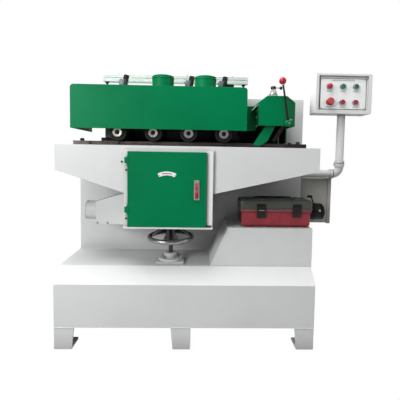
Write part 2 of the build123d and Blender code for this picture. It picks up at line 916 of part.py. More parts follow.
def press_carriage():
    """A back plate with the four roller seats and a yoke that slides on two posts."""
    plate_rear = plate_front + carriage_plate
    yoke_top = yoke_bottom_z + yoke_thickness
    body = block(carriage_left, carriage_right, plate_front, plate_rear, carriage_bottom_z, yoke_top)
    body += block(carriage_left, carriage_right, yoke_front, plate_front, yoke_bottom_z, yoke_top)
    for x in roller_x:
        body -= rod_y(x, roller_z, roller_shaft_radius + running_gap, plate_front - 1, plate_rear + 1)
    for x in post_x_pair:
        body -= rod_z(x, guide_post_y, post_radius + running_gap, yoke_bottom_z - 1, yoke_top + 1)
    middle_x = roller_x[1] + roller_pitch / 2
    body -= block(middle_x - 50, middle_x + 50, plate_front - 1, plate_rear + 1, carriage_bottom_z - 1, roller_z + 30)
    return body


def overarm():
    """A box beam on the column, with the two guide posts of the press carriage."""
    top = hood_top_z - sheet_wall
    beam = block(overarm_left, overarm_right, overarm_front, column_front, overarm_bottom_z, top)
    beam -= block(
        overarm_left - 1,
        overarm_right + 1,
        overarm_front + plate_wall,
        column_front - plate_wall,
        overarm_bottom_z + plate_wall,
        top - plate_wall,
    )
    pieces = [beam]
    for x in post_x_pair:
        pieces.append(rod_z(x, guide_post_y, post_radius, yoke_bottom_z - 12, overarm_bottom_z))
    return pieces


def hood():
    """The green sheet hood: front, two ends and a top with rounded ends, and two flared dust spigots."""
    rear = column_front - 2
    outer = block(hood_left, hood_right, hood_front, rear, hood_bottom_z, hood_top_z)
    outer = fillet(outer.edges().filter_by(Axis.Y).group_by(Axis.Z)[-1], hood_corner)
    inner = block(
        hood_left + sheet_wall,
        hood_right - sheet_wall,
        hood_front + sheet_wall,
        rear + 1,
        hood_bottom_z - 1,
        hood_top_z - sheet_wall,
    )
    inner = fillet(inner.edges().filter_by(Axis.Y).group_by(Axis.Z)[-1], hood_corner - sheet_wall)
    body = outer - inner
    for x in spigot_x:
        body += spigot(x)
        body -= rod_z(x, spigot_y, spigot_radius - sheet_wall, hood_top_z - 10, hood_top_z + 1)
    for x in cylinder_x:
        body -= rod_z(x, cylinder_y, cylinder_neck, hood_top_z - 10, hood_top_z + 1)
    return body


def spigot(x):
    """A straight hose spigot with a softened rim."""
    top = hood_top_z + spigot_height
    inner = spigot_radius - sheet_wall
    profile = [
        (inner, hood_top_z - sheet_wall),
        (spigot_radius, hood_top_z - sheet_wall),
        (spigot_radius, top - 1),
        (spigot_radius - 1, top),
        (inner, top),
    ]
    return turned_z(x, spigot_y, profile)


cylinder_neck = 13.0
valve_foot = 38.0
knob_seat = 71.0
knob_height = 28.0


def press_cylinders():
    """Heads of the three press cylinders, standing out of the hood, each with a leaning valve body."""
    heads = []
    valve = Pos(-7, 0, (valve_foot + knob_seat) / 2) * Box(46, 30, knob_seat - valve_foot)
    for x in cylinder_x:
        head = Pos(x, cylinder_y, hood_top_z) * Rot(0, cylinder_lean, 0) * valve
        head += rod_z(x, cylinder_y, cylinder_neck, hood_top_z - sheet_wall, hood_top_z + valve_foot + 8)
        heads.append(head)
    return heads


def valve_knob(x):
    """A fluted black knob on the valve body."""
    knob = Cylinder(15, knob_height)
    for number in range(10):
        knob -= Rot(0, 0, 36 * number) * Pos(15.5, 0, 0) * Cylinder(1.8, knob_height + 2)
    stem = Pos(0, 0, knob_seat + free_gap + knob_height / 2)
    return Pos(x, cylinder_y, hood_top_z) * Rot(0, cylinder_lean, 0) * stem * knob


def air_manifold():
    """A light rail on two pins on top of the column."""
    half = manifold_size / 2
    top = manifold_bottom_z + manifold_size
    rail = block(manifold_left, manifold_right, manifold_y - half, manifold_y + half, manifold_bottom_z, top)
    pieces = [rail]
    for x in [manifold_left + 18, manifold_right - 25]:
        pieces.append(rod_z(x, manifold_y, 5, upper_top_z, manifold_bottom_z))
    return pieces


def infeed_outline(inset):
    return [
        (infeed_left + inset, infeed_bottom_z - 1 if inset else infeed_bottom_z),
        (infeed_left + inset, infeed_side_z - inset * 0.4),
        (infeed_top_left + inset * 0.4, infeed_top_z - inset),
        (infeed_top_right - inset * 0.4, infeed_top_z - inset),
        (infeed_right - inset, infeed_side_z - inset * 0.4),
        (infeed_right - inset, infeed_bottom_z - 1 if inset else infeed_bottom_z),
    ]


def infeed_plan(inset):
    """The housing from above, with its front bent back at the right."""
    rear = table_rear
    return [
        (infeed_left - 1, infeed_front + inset),
        (infeed_bend_x, infeed_front + inset),
        (infeed_right + 1, infeed_front + infeed_bend_back + inset),
        (infeed_right + 1, rear - inset),
        (infeed_left - 1, rear - inset),
    ]


def infeed_housing():
    """The green cover over the kickback fingers, with a side block, a sloped plate and a cheek."""
    z0 = infeed_bottom_z - 2
    z1 = infeed_top_z + 1
    rear = table_rear
    outer = prism_y(infeed_outline(0), infeed_front, rear) & prism_z(infeed_plan(0), z0, z1)
    inner = prism_y(infeed_outline(infeed_sheet), infeed_front, rear) & prism_z(infeed_plan(infeed_sheet), z0, z1)
    body = outer - inner
    block_left = hood_right + 2
    body += block(block_left, infeed_left, infeed_front + 100, column_front, infeed_bottom_z - 20, infeed_side_z - 10)
    drop = infeed_top_left - slope_left
    slope = [
        (infeed_top_left, infeed_top_z),
        (slope_left, infeed_top_z - drop),
        (slope_left, infeed_top_z - drop - 10),
        (infeed_left, infeed_side_z - 12),
        (infeed_top_left, infeed_top_z - 6),
    ]
    body += prism_y(slope, infeed_front + 60, infeed_front + 100.5)
    body += block(cheek_x, cheek_x + 8, infeed_front + 120, rear, bed_top_z + 6, infeed_bottom_z + 2)
    body -= rod_y(lever_x, lever_z, lever_shaft_radius + running_gap, infeed_front - 1, infeed_front + 40)
    return body - rod_y(lever_x, lever_z, lever_shaft_radius + running_gap, rear - 20, rear + 1)


cheek_x = 542.0
finger_first_y = infeed_front + 42.0


def kickback_fingers():
    """A row of fingers on the lever's shaft. Each hangs to the bed and trails with the feed."""
    fingers = []
    lean = radians(finger_lean)
    tip = (-finger_length * sin(lean), -finger_length * cos(lean))
    outline = [
        (-8, 14),
        (14, 6),
        (tip[0] + 13, tip[1] + 11),
        (tip[0] + 6, tip[1]),
        (tip[0] - 12, tip[1] + 10),
        (-17, -2),
    ]
    for number in range(finger_count):
        y0 = finger_first_y + number * finger_pitch
        y1 = y0 + finger_thickness
        piece = prism_y(outline, y0, y1)
        piece += rod_y(0, 0, finger_knuckle_radius, y0, y0 + finger_pitch - 1)
        piece -= rod_y(0, 0, lever_shaft_radius + running_gap, y0 - 1, y0 + finger_pitch + 1)
        fingers.append(Pos(lever_x, 0, lever_z) * piece)
    return fingers


def lever_arm():
    """The shaft through the housing, with a hub and a rod outside."""
    hub_front = infeed_front - 38
    body = rod_y(lever_x, lever_z, lever_shaft_radius, infeed_front - 20, table_rear - infeed_sheet - 1)
    body += rod_y(lever_x, lever_z, lever_hub_radius, hub_front, infeed_front - free_gap)
    reach = lever_length - lever_ball_radius * 0.8
    arm = Pos(lever_x, lever_y, lever_z) * Rot(0, -lever_lean, 0) * Pos(0, 0, reach / 2) * Cylinder(5, reach)
    return body + arm


lever_y = infeed_front - 24.0


def lever_ball():
    """The ball on the lever's end, bored for the rod."""
    place = Pos(lever_x, lever_y, lever_z) * Rot(0, -lever_lean, 0)
    ball = place * Pos(0, 0, lever_length) * Sphere(lever_ball_radius)
    return ball - place * Pos(0, 0, lever_length / 2 - lever_ball_radius * 0.4) * Cylinder(5, lever_length - lever_ball_radius * 0.8)


def deflector():
    """The green tongue under the housing's front, folded along its lower right edge."""
    outline = [(410, infeed_bottom_z), (464, infeed_bottom_z), (422, 1084), (382, 1058), (345, 1064)]
    y0 = bed_front - 14
    plate = prism_y(outline, y0, y0 + 4)
    fold = [(464, infeed_bottom_z), (460, infeed_bottom_z), (418, 1086), (380, 1062), (382, 1058), (422, 1084)]
    flange = block(410, 464, infeed_front + infeed_sheet, y0 + 4, infeed_bottom_z, infeed_bottom_z + 4)
    return plate + prism_y(fold, y0, y0 + 10) + flange


def oil_cup():
    """A drip oiler on the housing: foot, glass, cap and a small toggle."""
    z0 = infeed_top_z
    profile = [
        (0, z0),
        (25, z0),
        (25, z0 + 8),
        (14, z0 + 38),
        (14, z0 + 44),
        (0, z0 + 44),
    ]
    glass = turned_z(cup_x, cup_y, profile)
    cap = turned_z(cup_x, cup_y, [(0, z0 + 44), (14.5, z0 + 44), (14.5, z0 + 57), (11, z0 + 60), (0, z0 + 60)])
    toggle = rod_x(cup_y, z0 + 52, 2.5, cup_x + 13, cup_x + 36)
    toggle += rod_x(cup_y, z0 + 52, 8, cup_x + 35, cup_x + 48)
    return [glass, cap + toggle]


def tool_shelf():
    """A plate box on the deck with a leaning left side, open towards the column."""
    wall = box_wall
    top = shelf_top_z
    outline = [(shelf_foot_x, deck_z), (shelf_top_left, top), (shelf_right, top), (shelf_right, deck_z)]
    inner = [
        (shelf_foot_x + 1.6 * wall, deck_z + wall),
        (shelf_top_left + 0.7 * wall, top - wall),
        (shelf_right - wall, top - wall),
        (shelf_right - wall, deck_z + wall),
    ]
    return prism_y(outline, shelf_front, column_front) - prism_y(inner, shelf_front + wall, column_front + 1)


def feed_drive():
    """The feed motor with its rounded end cover, and the gearbox on the column."""
    y = feed_motor_y
    z = feed_motor_z
    radius = feed_motor_radius
    motor = rod_x(y, z, radius, feed_motor_left, feed_motor_right)
    motor = fillet(motor.edges().group_by(Axis.X)[-1], 14)
    for number in range(7):
        x = feed_motor_left + 40 + number * 22
        motor -= rod_x(y, z, radius + 1, x, x + 8) - rod_x(y, z, radius - 4, x - 1, x + 9)
    gearbox = block(feed_motor_left - 90, feed_motor_left, y - 50, column_front, shelf_top_z, z + 55)
    gearbox = chamfer(gearbox.edges().filter_by(Axis.Y), 10)
    gearbox += rod_x(y, z, 40, feed_motor_left - 100, feed_motor_left)
    return [motor, gearbox]


def rounded_block(x0, x1, y0, y1, z0, z1, radius):
    return fillet(block(x0, x1, y0, y1, z0, z1).edges().filter_by(Axis.Z), radius)


def toolbox_base():
    """The toolbox's lower shell."""
    rear = case_front + case_depth
    z0 = shelf_top_z
    split = case_split_z
    body = rounded_block(case_left, case_right, case_front, rear, z0, split, 10)
    wall = case_wall
    hollow = block(case_left + wall, case_right - wall, case_front + wall, rear - wall, z0 + wall, split + 1)
    body -= hollow
    for x in case_hinge_x:
        body += block(x - 15, x + 15, rear - 1, case_hinge_y, split - 4, split - free_gap)
        body += rod_x(case_hinge_y, split, 4, x - 15, x + 15)
        body += rod_x(case_hinge_y, split, 2, x - 31, x + 31)
    return body


def toolbox_lid():
    """The toolbox's lid, a little wider than its base."""
    out = lid_overhang
    rear = case_front + case_depth + out
    z0 = case_split_z + free_gap
    body = rounded_block(case_left - out, case_right + out, case_front - out, rear, z0, case_top_z, 12)
    body = chamfer(body.edges().group_by(Axis.Z)[-1], 6)
    wall = case_wall
    body -= block(case_left + wall, case_right - wall, case_front + wall, rear - out - wall, z0 - 1, case_top_z - wall)
    for x in handle_lug_x:
        body += block(x - 5, x + 5, handle_y - 7, handle_y + 7, case_top_z - 1, case_top_z + 14)
        body -= rod_x(handle_y, handle_z, 4 + running_gap, x - 6, x + 6)
    for x in case_hinge_x:
        for x0 in [x - 31, x + 15 + free_gap]:
            x1 = x0 + 16 - free_gap
            body += block(x0, x1, rear - 1, case_hinge_y, case_split_z + free_gap, case_split_z + 4)
            body += rod_x(case_hinge_y, case_split_z, 4, x0, x1)
            body -= rod_x(case_hinge_y, case_split_z, 2 + running_gap, x0 - 1, x1 + 1)
    for x in latch_x:
        reach = latch_width / 2 + free_gap
        for x0 in [x - reach - 4, x + reach]:
            body += block(x0, x0 + 4, latch_front, case_front - out + 1, latch_z - 4, latch_z + 4)
        body += rod_x(latch_front + 3, latch_z, 1.5, x - reach - 1, x + reach + 1)
    return body


case_hinge_x = [case_left + 70.0, case_right - 70.0]
case_hinge_y = case_front + case_depth + lid_overhang + 4.5
handle_lug_x = [case_left + 75.0, case_right - 75.0]
handle_y = case_front + case_depth / 2
handle_z = case_top_z + 7.0


def toolbox_handle():
    """A bail folded down on the lid."""
    x0 = handle_lug_x[0]
    x1 = handle_lug_x[1]
    inner0 = x0 + 12
    inner1 = x1 - 12
    bar = rod_x(handle_y + 50, handle_z, 5, inner0 - 5, inner1 + 5)
    for x, pin_end in [(inner0, x0 - 5), (inner1, x1 + 5)]:
        bar += block(x - 5, x + 5, handle_y, handle_y + 50, handle_z - 5, handle_z + 5)
        bar += rod_x(handle_y, handle_z, 5, x - 5, x + 5)
        ends = sorted([x, pin_end])
        bar += rod_x(handle_y, handle_z, 4, ends[0], ends[1])
    return bar


latch_z = case_split_z + 30.0
latch_front = case_front - lid_overhang - 6.3


def toolbox_latches():
    """Two drop latches that turn on the lid's front and hold the base."""
    latches = []
    for x in latch_x:
        half = latch_width / 2
        body = block(x - half, x + half, latch_front, latch_front + 6, case_split_z - 38, latch_z)
        body += rod_x(latch_front + 3, latch_z, 3, x - half, x + half)
        body += block(x - half, x + half, latch_front, case_front - free_gap, case_split_z - 38, case_split_z - 31)
        latches.append(body - rod_x(latch_front + 3, latch_z, 1.5 + running_gap, x - half - 1, x + half + 1))
    return latches


def electric_cabinet():
    """A sheet cabinet on the column's side, open to its door at the right."""
    rear = cabinet_front + cabinet_depth
    body = block(column_right, cabinet_right, cabinet_front, rear, cabinet_bottom_z, cabinet_top_z)
    wall = sheet_wall
    body -= block(
        column_right + wall,
        cabinet_right + 1,
        cabinet_front + wall,
        rear - wall,
        cabinet_bottom_z + wall,
        cabinet_top_z - wall,
    )
    for z in cabinet_hinge_z:
        body += rod_z(cabinet_hinge_x, cabinet_hinge_y, 3, z - 30, z + 30)
        for z0 in [z - 30, z + 15 + free_gap]:
            z1 = z0 + 15 - free_gap
            body += rod_z(cabinet_hinge_x, cabinet_hinge_y, 6, z0, z1)
            body += block(cabinet_right - 25, cabinet_hinge_x, cabinet_hinge_y - 6, cabinet_hinge_y, z0, z1)
            body += block(cabinet_right - 25, cabinet_right - 2, rear, cabinet_hinge_y - 6, z0, z1)
    return body


cabinet_hinge_x = cabinet_right + 10.0
cabinet_hinge_y = cabinet_front + cabinet_depth + 11.0
cabinet_hinge_z = [cabinet_bottom_z + 55.0, cabinet_top_z - 55.0]


def cabinet_door():
    """The cabinet's folded door."""
    rear = cabinet_front + cabinet_depth
    x0 = cabinet_right + free_gap
    x1 = cabinet_right + cabinet_door_depth
    body = block(x0, x1, cabinet_front - 4, rear + 4, cabinet_bottom_z - 4, cabinet_top_z + 4)
    body -= block(x0 - 1, x1 - 2, cabinet_front, rear, cabinet_bottom_z, cabinet_top_z)
    body += rod_x(cabinet_front + 40, (cabinet_bottom_z + cabinet_top_z) / 2, 12, x1 - 2, x1 + 5)
    for z in cabinet_hinge_z:
        body += block(cabinet_hinge_x - 6, cabinet_hinge_x + 6, rear + 3, cabinet_hinge_y, z - 15, z + 15)
        body += rod_z(cabinet_hinge_x, cabinet_hinge_y, 6, z - 15, z + 15)
        body -= rod_z(cabinet_hinge_x, cabinet_hinge_y, 3 + running_gap, z - 16, z + 16)
    return body


def support_arm():
    """The fixed pipe from the column, with its wall flange, elbow and socket."""
    run_end = post_x - elbow_radius
    pipe = rod_x(post_y, pipe_z, pipe_radius, column_right, run_end)
    pipe += rod_x(post_y, pipe_z, 32, column_right, column_right + 10)
    pipe += rod_x(post_y, pipe_z, collar_radius, run_end - 14, run_end)
    bend_path = Plane(origin=(run_end, post_y, pipe_z), x_dir=(1, 0, 0), z_dir=(0, -1, 0)) * JernArc(
        (0, 0), (1, 0), elbow_radius, 90
    )
    section = Plane(origin=(run_end, post_y, pipe_z), z_dir=(1, 0, 0)) * Circle(pipe_radius + 2)
    pipe += sweep(section, path=bend_path)
    socket = rod_z(post_x, post_y, collar_radius, pipe_z + elbow_radius, post_foot_z)
    return pipe + socket


def control_post():
    """The upright pipe, which turns on the socket."""
    z0 = post_foot_z + free_gap
    body = rod_z(post_x, post_y, pipe_radius, z0, control_bottom_z)
    return body + rod_z(post_x, post_y, collar_radius, z0, z0 + 16)


panel_left = control_left + 30.0
panel_bottom_z = control_bottom_z + 29.0
panel_width = 279.0
panel_height = 181.0
recess_left = control_left + 17.0
recess_width = 302.0
recess_bottom_z = control_bottom_z + 22.0
recess_height = 204.0
panel_front = control_front + recess_depth - panel_thickness


def control_box():
    """The control box with its recessed front."""
    top = control_bottom_z + control_height
    body = block(control_left, control_left + control_width, control_front, control_front + control_depth, control_bottom_z, top)
    body = fillet(body.edges().filter_by(Axis.Y), 8)
    recess = block(
        recess_left,
        recess_left + recess_width,
        control_front - 1,
        control_front + recess_depth,
        recess_bottom_z,
        recess_bottom_z + recess_height,
    )
    recess = fillet(recess.edges().filter_by(Axis.Y), 5)
    body -= recess
    for x, z in button_places():
        body -= rod_y(x, z, button_radius + 1.5, control_front + recess_depth - 1, control_front + recess_depth + 30)
    wall = sheet_wall
    right = control_left + control_width
    rear = control_front + control_depth
    inner_front = control_front + recess_depth + wall
    body -= block(control_left + wall, right - wall, inner_front, rear + 1, control_bottom_z + wall, top - wall)
    back = block(control_left + 1, right - 1, rear, rear + 2, control_bottom_z + 1, top - 1)
    back = fillet(back.edges().filter_by(Axis.Y), 7)
    return [body, back]


def button_places():
    """Centres of the six controls, row by row from the upper left."""
    return [(control_left + x, control_bottom_z + control_height - z) for z in button_rows for x in button_columns]


def control_panel():
    """The face plate in the recess, bored for the controls."""
    body = block(
        panel_left,
        panel_left + panel_width,
        panel_front,
        panel_front + panel_thickness,
        panel_bottom_z,
        panel_bottom_z + panel_height,
    )
    body = fillet(body.edges().filter_by(Axis.Y), 8)
    for x, z in button_places():
        body -= rod_y(x, z, button_radius + 1.5, panel_front - 1, panel_front + panel_thickness + 1)
    return body


bezel_depth = 11.0


def button_bezels():
    """A round bezel for each control."""
    rings = []
    for x, z in button_places():
        ring = rod_y(x, z, bezel_radius, panel_front - bezel_depth, panel_front)
        rings.append(ring - rod_y(x, z, button_radius + running_gap, panel_front - bezel_depth - 1, panel_front + 1))
    return rings


def push_button(place):
    """A round button that slides in its bezel."""
    x, z = place
    body = rod_y(x, z, button_radius, panel_front - bezel_depth - 5, panel_front + 12)
    return fillet(body.edges().group_by(Axis.Y)[0], 2)


def stop_button(place):
    """The mushroom stop button."""
    x, z = place
    face = panel_front - bezel_depth
    profile = [
        (0, face - 26),
        (mushroom_radius - 6, face - 25),
        (mushroom_radius, face - 20),
        (mushroom_radius, face - 13),
        (button_radius + 2, face - 6),
        (button_radius, face - 6),
        (button_radius, panel_front + 12),
        (0, panel_front + 12),
    ]
    return turned_y(x, z, profile)


def pilot_lamp(place):
    """The domed lamp lens."""
    x, z = place
    face = panel_front - bezel_depth
    profile = [
        (0, face - 14),
        (6, face - 13),
        (10.5, face - 9),
        (12.5, face - 3),
        (12.5, face),
        (button_radius, face),
        (button_radius, panel_front + 8),
        (0, panel_front + 8),
    ]
    return turned_y(x, z, profile)


def build():
    os.makedirs("parts", exist_ok=True)
    places = button_places()
    save("base_frame", base_frame())
    save("feet", *feet())
    save("column", column())
    save("rear_cover", rear_cover())
    save("slide_rails", *slide_rails())
    save("tool_shelf", tool_shelf())
    save("electric_cabinet", electric_cabinet())
    save("cabinet_door", cabinet_door())
    save("spindle_housing", spindle_housing())
    save("saw_spindle", saw_spindle())
    save("saw_blades", *saw_blades())
    save("spindle_collars", *spindle_collars())
    save("spindle_pulley", spindle_pulley())
    save("motor_pulley", motor_pulley())
    save("drive_belts", *drive_belts())
    save("belt_guard", belt_guard())
    save("main_motor", *main_motor())
    save("table_frame", table_frame())
    save("spindle_box", spindle_box())
    save("gib_blocks", *gib_blocks())
    save("access_door", access_door())
    save("bed_plates", *bed_plates())
    save("rear_fence", rear_fence())
    save("dust_funnel", dust_funnel())
    save("screw_stand", thrust_stand(), lift_screw())
    save("handwheel", handwheel())
    save("lift_nut", lift_nut())
    save("press_carriage", press_carriage())
    for number, x in enumerate(roller_x):
        save(f"press_roller_{number + 1}", *press_roller(x))
    save("overarm", *overarm())
    save("hood", hood())
    save("press_cylinders", *press_cylinders())
    for number, x in enumerate(cylinder_x):
        save(f"valve_knob_{number + 1}", valve_knob(x))
    save("air_manifold", *air_manifold())
    save("infeed_housing", infeed_housing(), deflector())
    save("kickback_fingers", *kickback_fingers())
    save("lever_arm", lever_arm())
    save("lever_ball", lever_ball())
    save("oil_cup", *oil_cup())
    save("feed_drive", *feed_drive())
    save("toolbox_base", toolbox_base())
    save("toolbox_lid", toolbox_lid())
    save("toolbox_handle", toolbox_handle())
    save("toolbox_latches", *toolbox_latches())
    save("support_arm", support_arm())
    save("control_box", *control_box(), control_post())
    save("control_panel", control_panel())
    save("button_bezels", *button_bezels())
    save("pilot_lamp", pilot_lamp(places[0]))
    save("stop_button", stop_button(places[3]))
    for number, place in enumerate([places[1], places[2], places[4], places[5]]):
        save(f"push_button_{number + 1}", push_button(place))


build()
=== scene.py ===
import bpy
import bmesh
import math
from mathutils import Matrix, Vector


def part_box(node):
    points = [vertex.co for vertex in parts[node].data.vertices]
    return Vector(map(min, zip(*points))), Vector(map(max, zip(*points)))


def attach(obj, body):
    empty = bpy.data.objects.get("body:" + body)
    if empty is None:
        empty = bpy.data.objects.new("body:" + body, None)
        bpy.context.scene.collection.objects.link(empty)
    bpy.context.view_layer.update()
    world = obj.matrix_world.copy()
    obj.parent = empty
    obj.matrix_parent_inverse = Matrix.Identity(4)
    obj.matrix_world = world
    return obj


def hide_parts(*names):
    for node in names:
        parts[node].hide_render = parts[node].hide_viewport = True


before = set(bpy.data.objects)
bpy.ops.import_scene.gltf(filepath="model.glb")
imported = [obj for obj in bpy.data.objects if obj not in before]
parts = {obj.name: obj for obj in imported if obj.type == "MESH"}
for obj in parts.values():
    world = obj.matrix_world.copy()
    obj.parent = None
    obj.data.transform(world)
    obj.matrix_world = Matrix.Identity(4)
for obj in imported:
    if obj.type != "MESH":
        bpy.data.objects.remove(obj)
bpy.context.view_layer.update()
mm = 0.001
up, toRear, toRight = (0, 0, 1), (0, 1, 0), (1, 0, 0)
down, toFront, toLeft = (0, 0, -1), (0, -1, 0), (-1, 0, 0)
scene = bpy.context.scene
print("frame loaded:", len(parts), "nodes")


# the camera: a wide lens a little above the table, turned slightly to the right
cameraSpot = {"place": (60, -2200, 1005), "yaw": 1.35, "down": 3.3, "roll": 0.945, "lens": 27.9,
        "shift": (-0.0158, -0.0675)}


def setCamera(spot):
    yaw, down, roll = (math.radians(spot[k]) for k in ("yaw", "down", "roll"))
    ahead = Vector((math.sin(yaw) * math.cos(down), math.cos(yaw) * math.cos(down), -math.sin(down)))
    side = ahead.cross(Vector(up)).normalized()
    upward = side.cross(ahead)
    tilted = side * math.cos(roll) + upward * math.sin(roll)
    over = tilted.cross(ahead)
    turn = Matrix((tilted, over, -ahead)).transposed().to_4x4()
    data = bpy.data.cameras.new("studioCamera")
    data.lens = spot["lens"]
    data.sensor_width = 36
    data.shift_x, data.shift_y = spot["shift"]
    data.clip_end = 60
    camera = bpy.data.objects.new("studioCamera", data)
    camera.matrix_world = Matrix.Translation(Vector(spot["place"]) * mm) @ turn
    scene.collection.objects.link(camera)
    scene.camera = camera


setCamera(cameraSpot)
print("camera set")


def toLinear(hexText):
    channels = [int(hexText[i:i + 2], 16) / 255 for i in (0, 2, 4)]
    return tuple(c / 12.92 if c < 0.04045 else ((c + 0.055) / 1.055) ** 2.4 for c in channels) + (1.0,)


def addNode(tree, kind, links=None, **settings):
    node = tree.nodes.new("ShaderNode" + kind)
    inputs = settings.pop("inputs", {})
    for key, value in settings.items():
        setattr(node, key, value)
    for key, value in inputs.items():
        node.inputs[key].default_value = value
    for key, source in (links or {}).items():
        tree.links.new(source, node.inputs[key])
    return node


def startMaterial(name, **surface):
    material = bpy.data.materials.new(name)
    material.use_nodes = True
    tree = material.node_tree
    shader = tree.nodes["Principled BSDF"]
    for key, value in surface.items():
        shader.inputs[key.replace("_", " ")].default_value = value
    place = addNode(tree, "TexCoord").outputs["Object"]
    return material, tree, shader, place


def rampOf(tree, source, stops):
    node = addNode(tree, "ValToRGB", {"Fac": source})
    ramp = node.color_ramp
    while len(ramp.elements) < len(stops):
        ramp.elements.new(0.5)
    for element, (spot, colour) in zip(ramp.elements, stops):
        element.position = spot
        element.color = colour if isinstance(colour, tuple) else toLinear(colour)
    return node.outputs["Color"]


def dustAndShadeCorners(tree, shader, colour, reach, clear, dirtAndShade, dustAndShadeTone):
    # dust gathers where faces meet, and the corners also get painted shade: the colour goes darker with
    # ambient occlusion
    corner = addNode(tree, "AmbientOcclusion", samples=6, inputs={"Distance": reach})
    shade = addNode(tree, "MapRange", {"Value": corner.outputs["AO"]}, inputs={"From Min": clear[0],
            "From Max": clear[1], "To Min": dirtAndShade, "To Max": 0.0})
    dustyAndShaded = addNode(tree, "Mix", {"Factor": shade.outputs["Result"], "A": colour}, data_type="RGBA",
            inputs={"B": toLinear(dustAndShadeTone)})
    tree.links.new(dustyAndShaded.outputs["Result"], shader.inputs["Base Color"])


def textureSkin(tree, shader, soft, grain, strength, deep):
    # the rounded normal with a fine bump on it
    bump = addNode(tree, "Bump", {"Height": grain.outputs["Fac"], "Normal": soft.outputs["Normal"]},
            inputs={"Strength": strength, "Distance": deep})
    tree.links.new(bump.outputs["Normal"], shader.inputs["Normal"])


def paintedSteel(name, tone, darker, edge, roughness, peel=0.06, dirtAndShade=0.35, wearAndSheen=0.35, rounding=1.6,
        gloss=0.3):
    # sprayed enamel on sheet steel: even colour, faint orange peel, paler edges that are part wear and part
    # painted highlight, corners darkened partly by dust and partly as painted shade
    material, tree, shader, place = startMaterial(name, Roughness=roughness, Specular_IOR_Level=gloss)
    cloud = addNode(tree, "TexNoise", {"Vector": place}, inputs={"Scale": 2.3, "Detail": 4, "Roughness": 0.6})
    base = rampOf(tree, cloud.outputs["Fac"], [(0.35, darker), (0.62, tone)])
    soft = addNode(tree, "Bevel", samples=6, inputs={"Radius": rounding * mm})
    flat = addNode(tree, "NewGeometry")
    # the edge colour laid on near the edges is part worn paint and part a painted highlight
    meet = addNode(tree, "VectorMath", {0: soft.outputs["Normal"], 1: flat.outputs["Normal"]},
            operation="DOT_PRODUCT")
    rim = addNode(tree, "MapRange", {"Value": meet.outputs["Value"]}, inputs={"From Min": 0.99,
            "From Max": 0.86, "To Min": 0.0, "To Max": wearAndSheen})
    wornAndSheen = addNode(tree, "Mix", {"Factor": rim.outputs["Result"], "A": base}, data_type="RGBA",
            inputs={"B": toLinear(edge)})
    # the corner darkening is partly dust and partly painted shade
    dustAndShadeCorners(tree, shader, wornAndSheen.outputs["Result"], 0.16, (0.2, 0.8), dirtAndShade, "2E2C28")
    grain = addNode(tree, "TexNoise", {"Vector": place}, inputs={"Scale": 260, "Detail": 2, "Roughness": 0.5})
    textureSkin(tree, shader, soft, grain, peel, 0.0008)
    return material


def groundSteel(name, tone, darker, roughness, stretch, grit=140, rounding=0.8, metallic=1.0, bumpiness=0.05):
    # bare steel with machining marks drawn out along one way, stained a little by oil
    material, tree, shader, place = startMaterial(name, Metallic=metallic, Roughness=roughness)
    lie = addNode(tree, "Mapping", {"Vector": place}, inputs={"Scale": stretch})
    marks = addNode(tree, "TexNoise", {"Vector": lie.outputs["Vector"]}, inputs={"Scale": grit, "Detail": 3})
    cloud = addNode(tree, "TexNoise", {"Vector": place}, inputs={"Scale": 9, "Detail": 5, "Roughness": 0.65})
    mixed = addNode(tree, "Mix", {"A": marks.outputs["Fac"], "B": cloud.outputs["Fac"]},
            inputs={"Factor": 0.5})
    colour = rampOf(tree, mixed.outputs["Result"], [(0.36, darker), (0.62, tone)])
    tree.links.new(colour, shader.inputs["Base Color"])
    rough = addNode(tree, "MapRange", {"Value": mixed.outputs["Result"]}, inputs={"From Min": 0.3,
            "From Max": 0.7, "To Min": roughness + 0.12, "To Max": roughness - 0.06})
    tree.links.new(rough.outputs["Result"], shader.inputs["Roughness"])
    soft = addNode(tree, "Bevel", samples=6, inputs={"Radius": rounding * mm})
    textureSkin(tree, shader, soft, marks, bumpiness, 0.0005)
    return material


def mouldedPlastic(name, tone, darker, roughness, grit=600, texture=0.08, rounding=0.8, coat=0.0):
    # injection moulded plastic with a fine spark-eroded texture and hollows darkened partly by dust and partly
    # as painted shade
    material, tree, shader, place = startMaterial(name, Roughness=roughness, Specular_IOR_Level=0.35,
            Coat_Weight=coat)
    cloud = addNode(tree, "TexNoise", {"Vector": place}, inputs={"Scale": 14, "Detail": 4})
    colour = rampOf(tree, cloud.outputs["Fac"], [(0.35, darker), (0.65, tone)])
    dustAndShadeCorners(tree, shader, colour, 0.012, (0.3, 0.9), 0.4, "1C1A18")
    soft = addNode(tree, "Bevel", samples=6, inputs={"Radius": rounding * mm})
    grain = addNode(tree, "TexNoise", {"Vector": place}, inputs={"Scale": grit, "Detail": 2})
    textureSkin(tree, shader, soft, grain, texture, 0.0004)
    return material


def clearGlass():
    # pressed glass of the drip oiler, clear with a faint green
    material, tree, shader, place = startMaterial("pressedGlass", Roughness=0.06, IOR=1.5,
            Transmission_Weight=0.75)
    cloud = addNode(tree, "TexNoise", {"Vector": place}, inputs={"Scale": 60, "Detail": 2})
    tree.links.new(rampOf(tree, cloud.outputs["Fac"], [(0.3, "D9DDD3"), (0.7, "F2F4EE")]),
            shader.inputs["Base Color"])
    return material
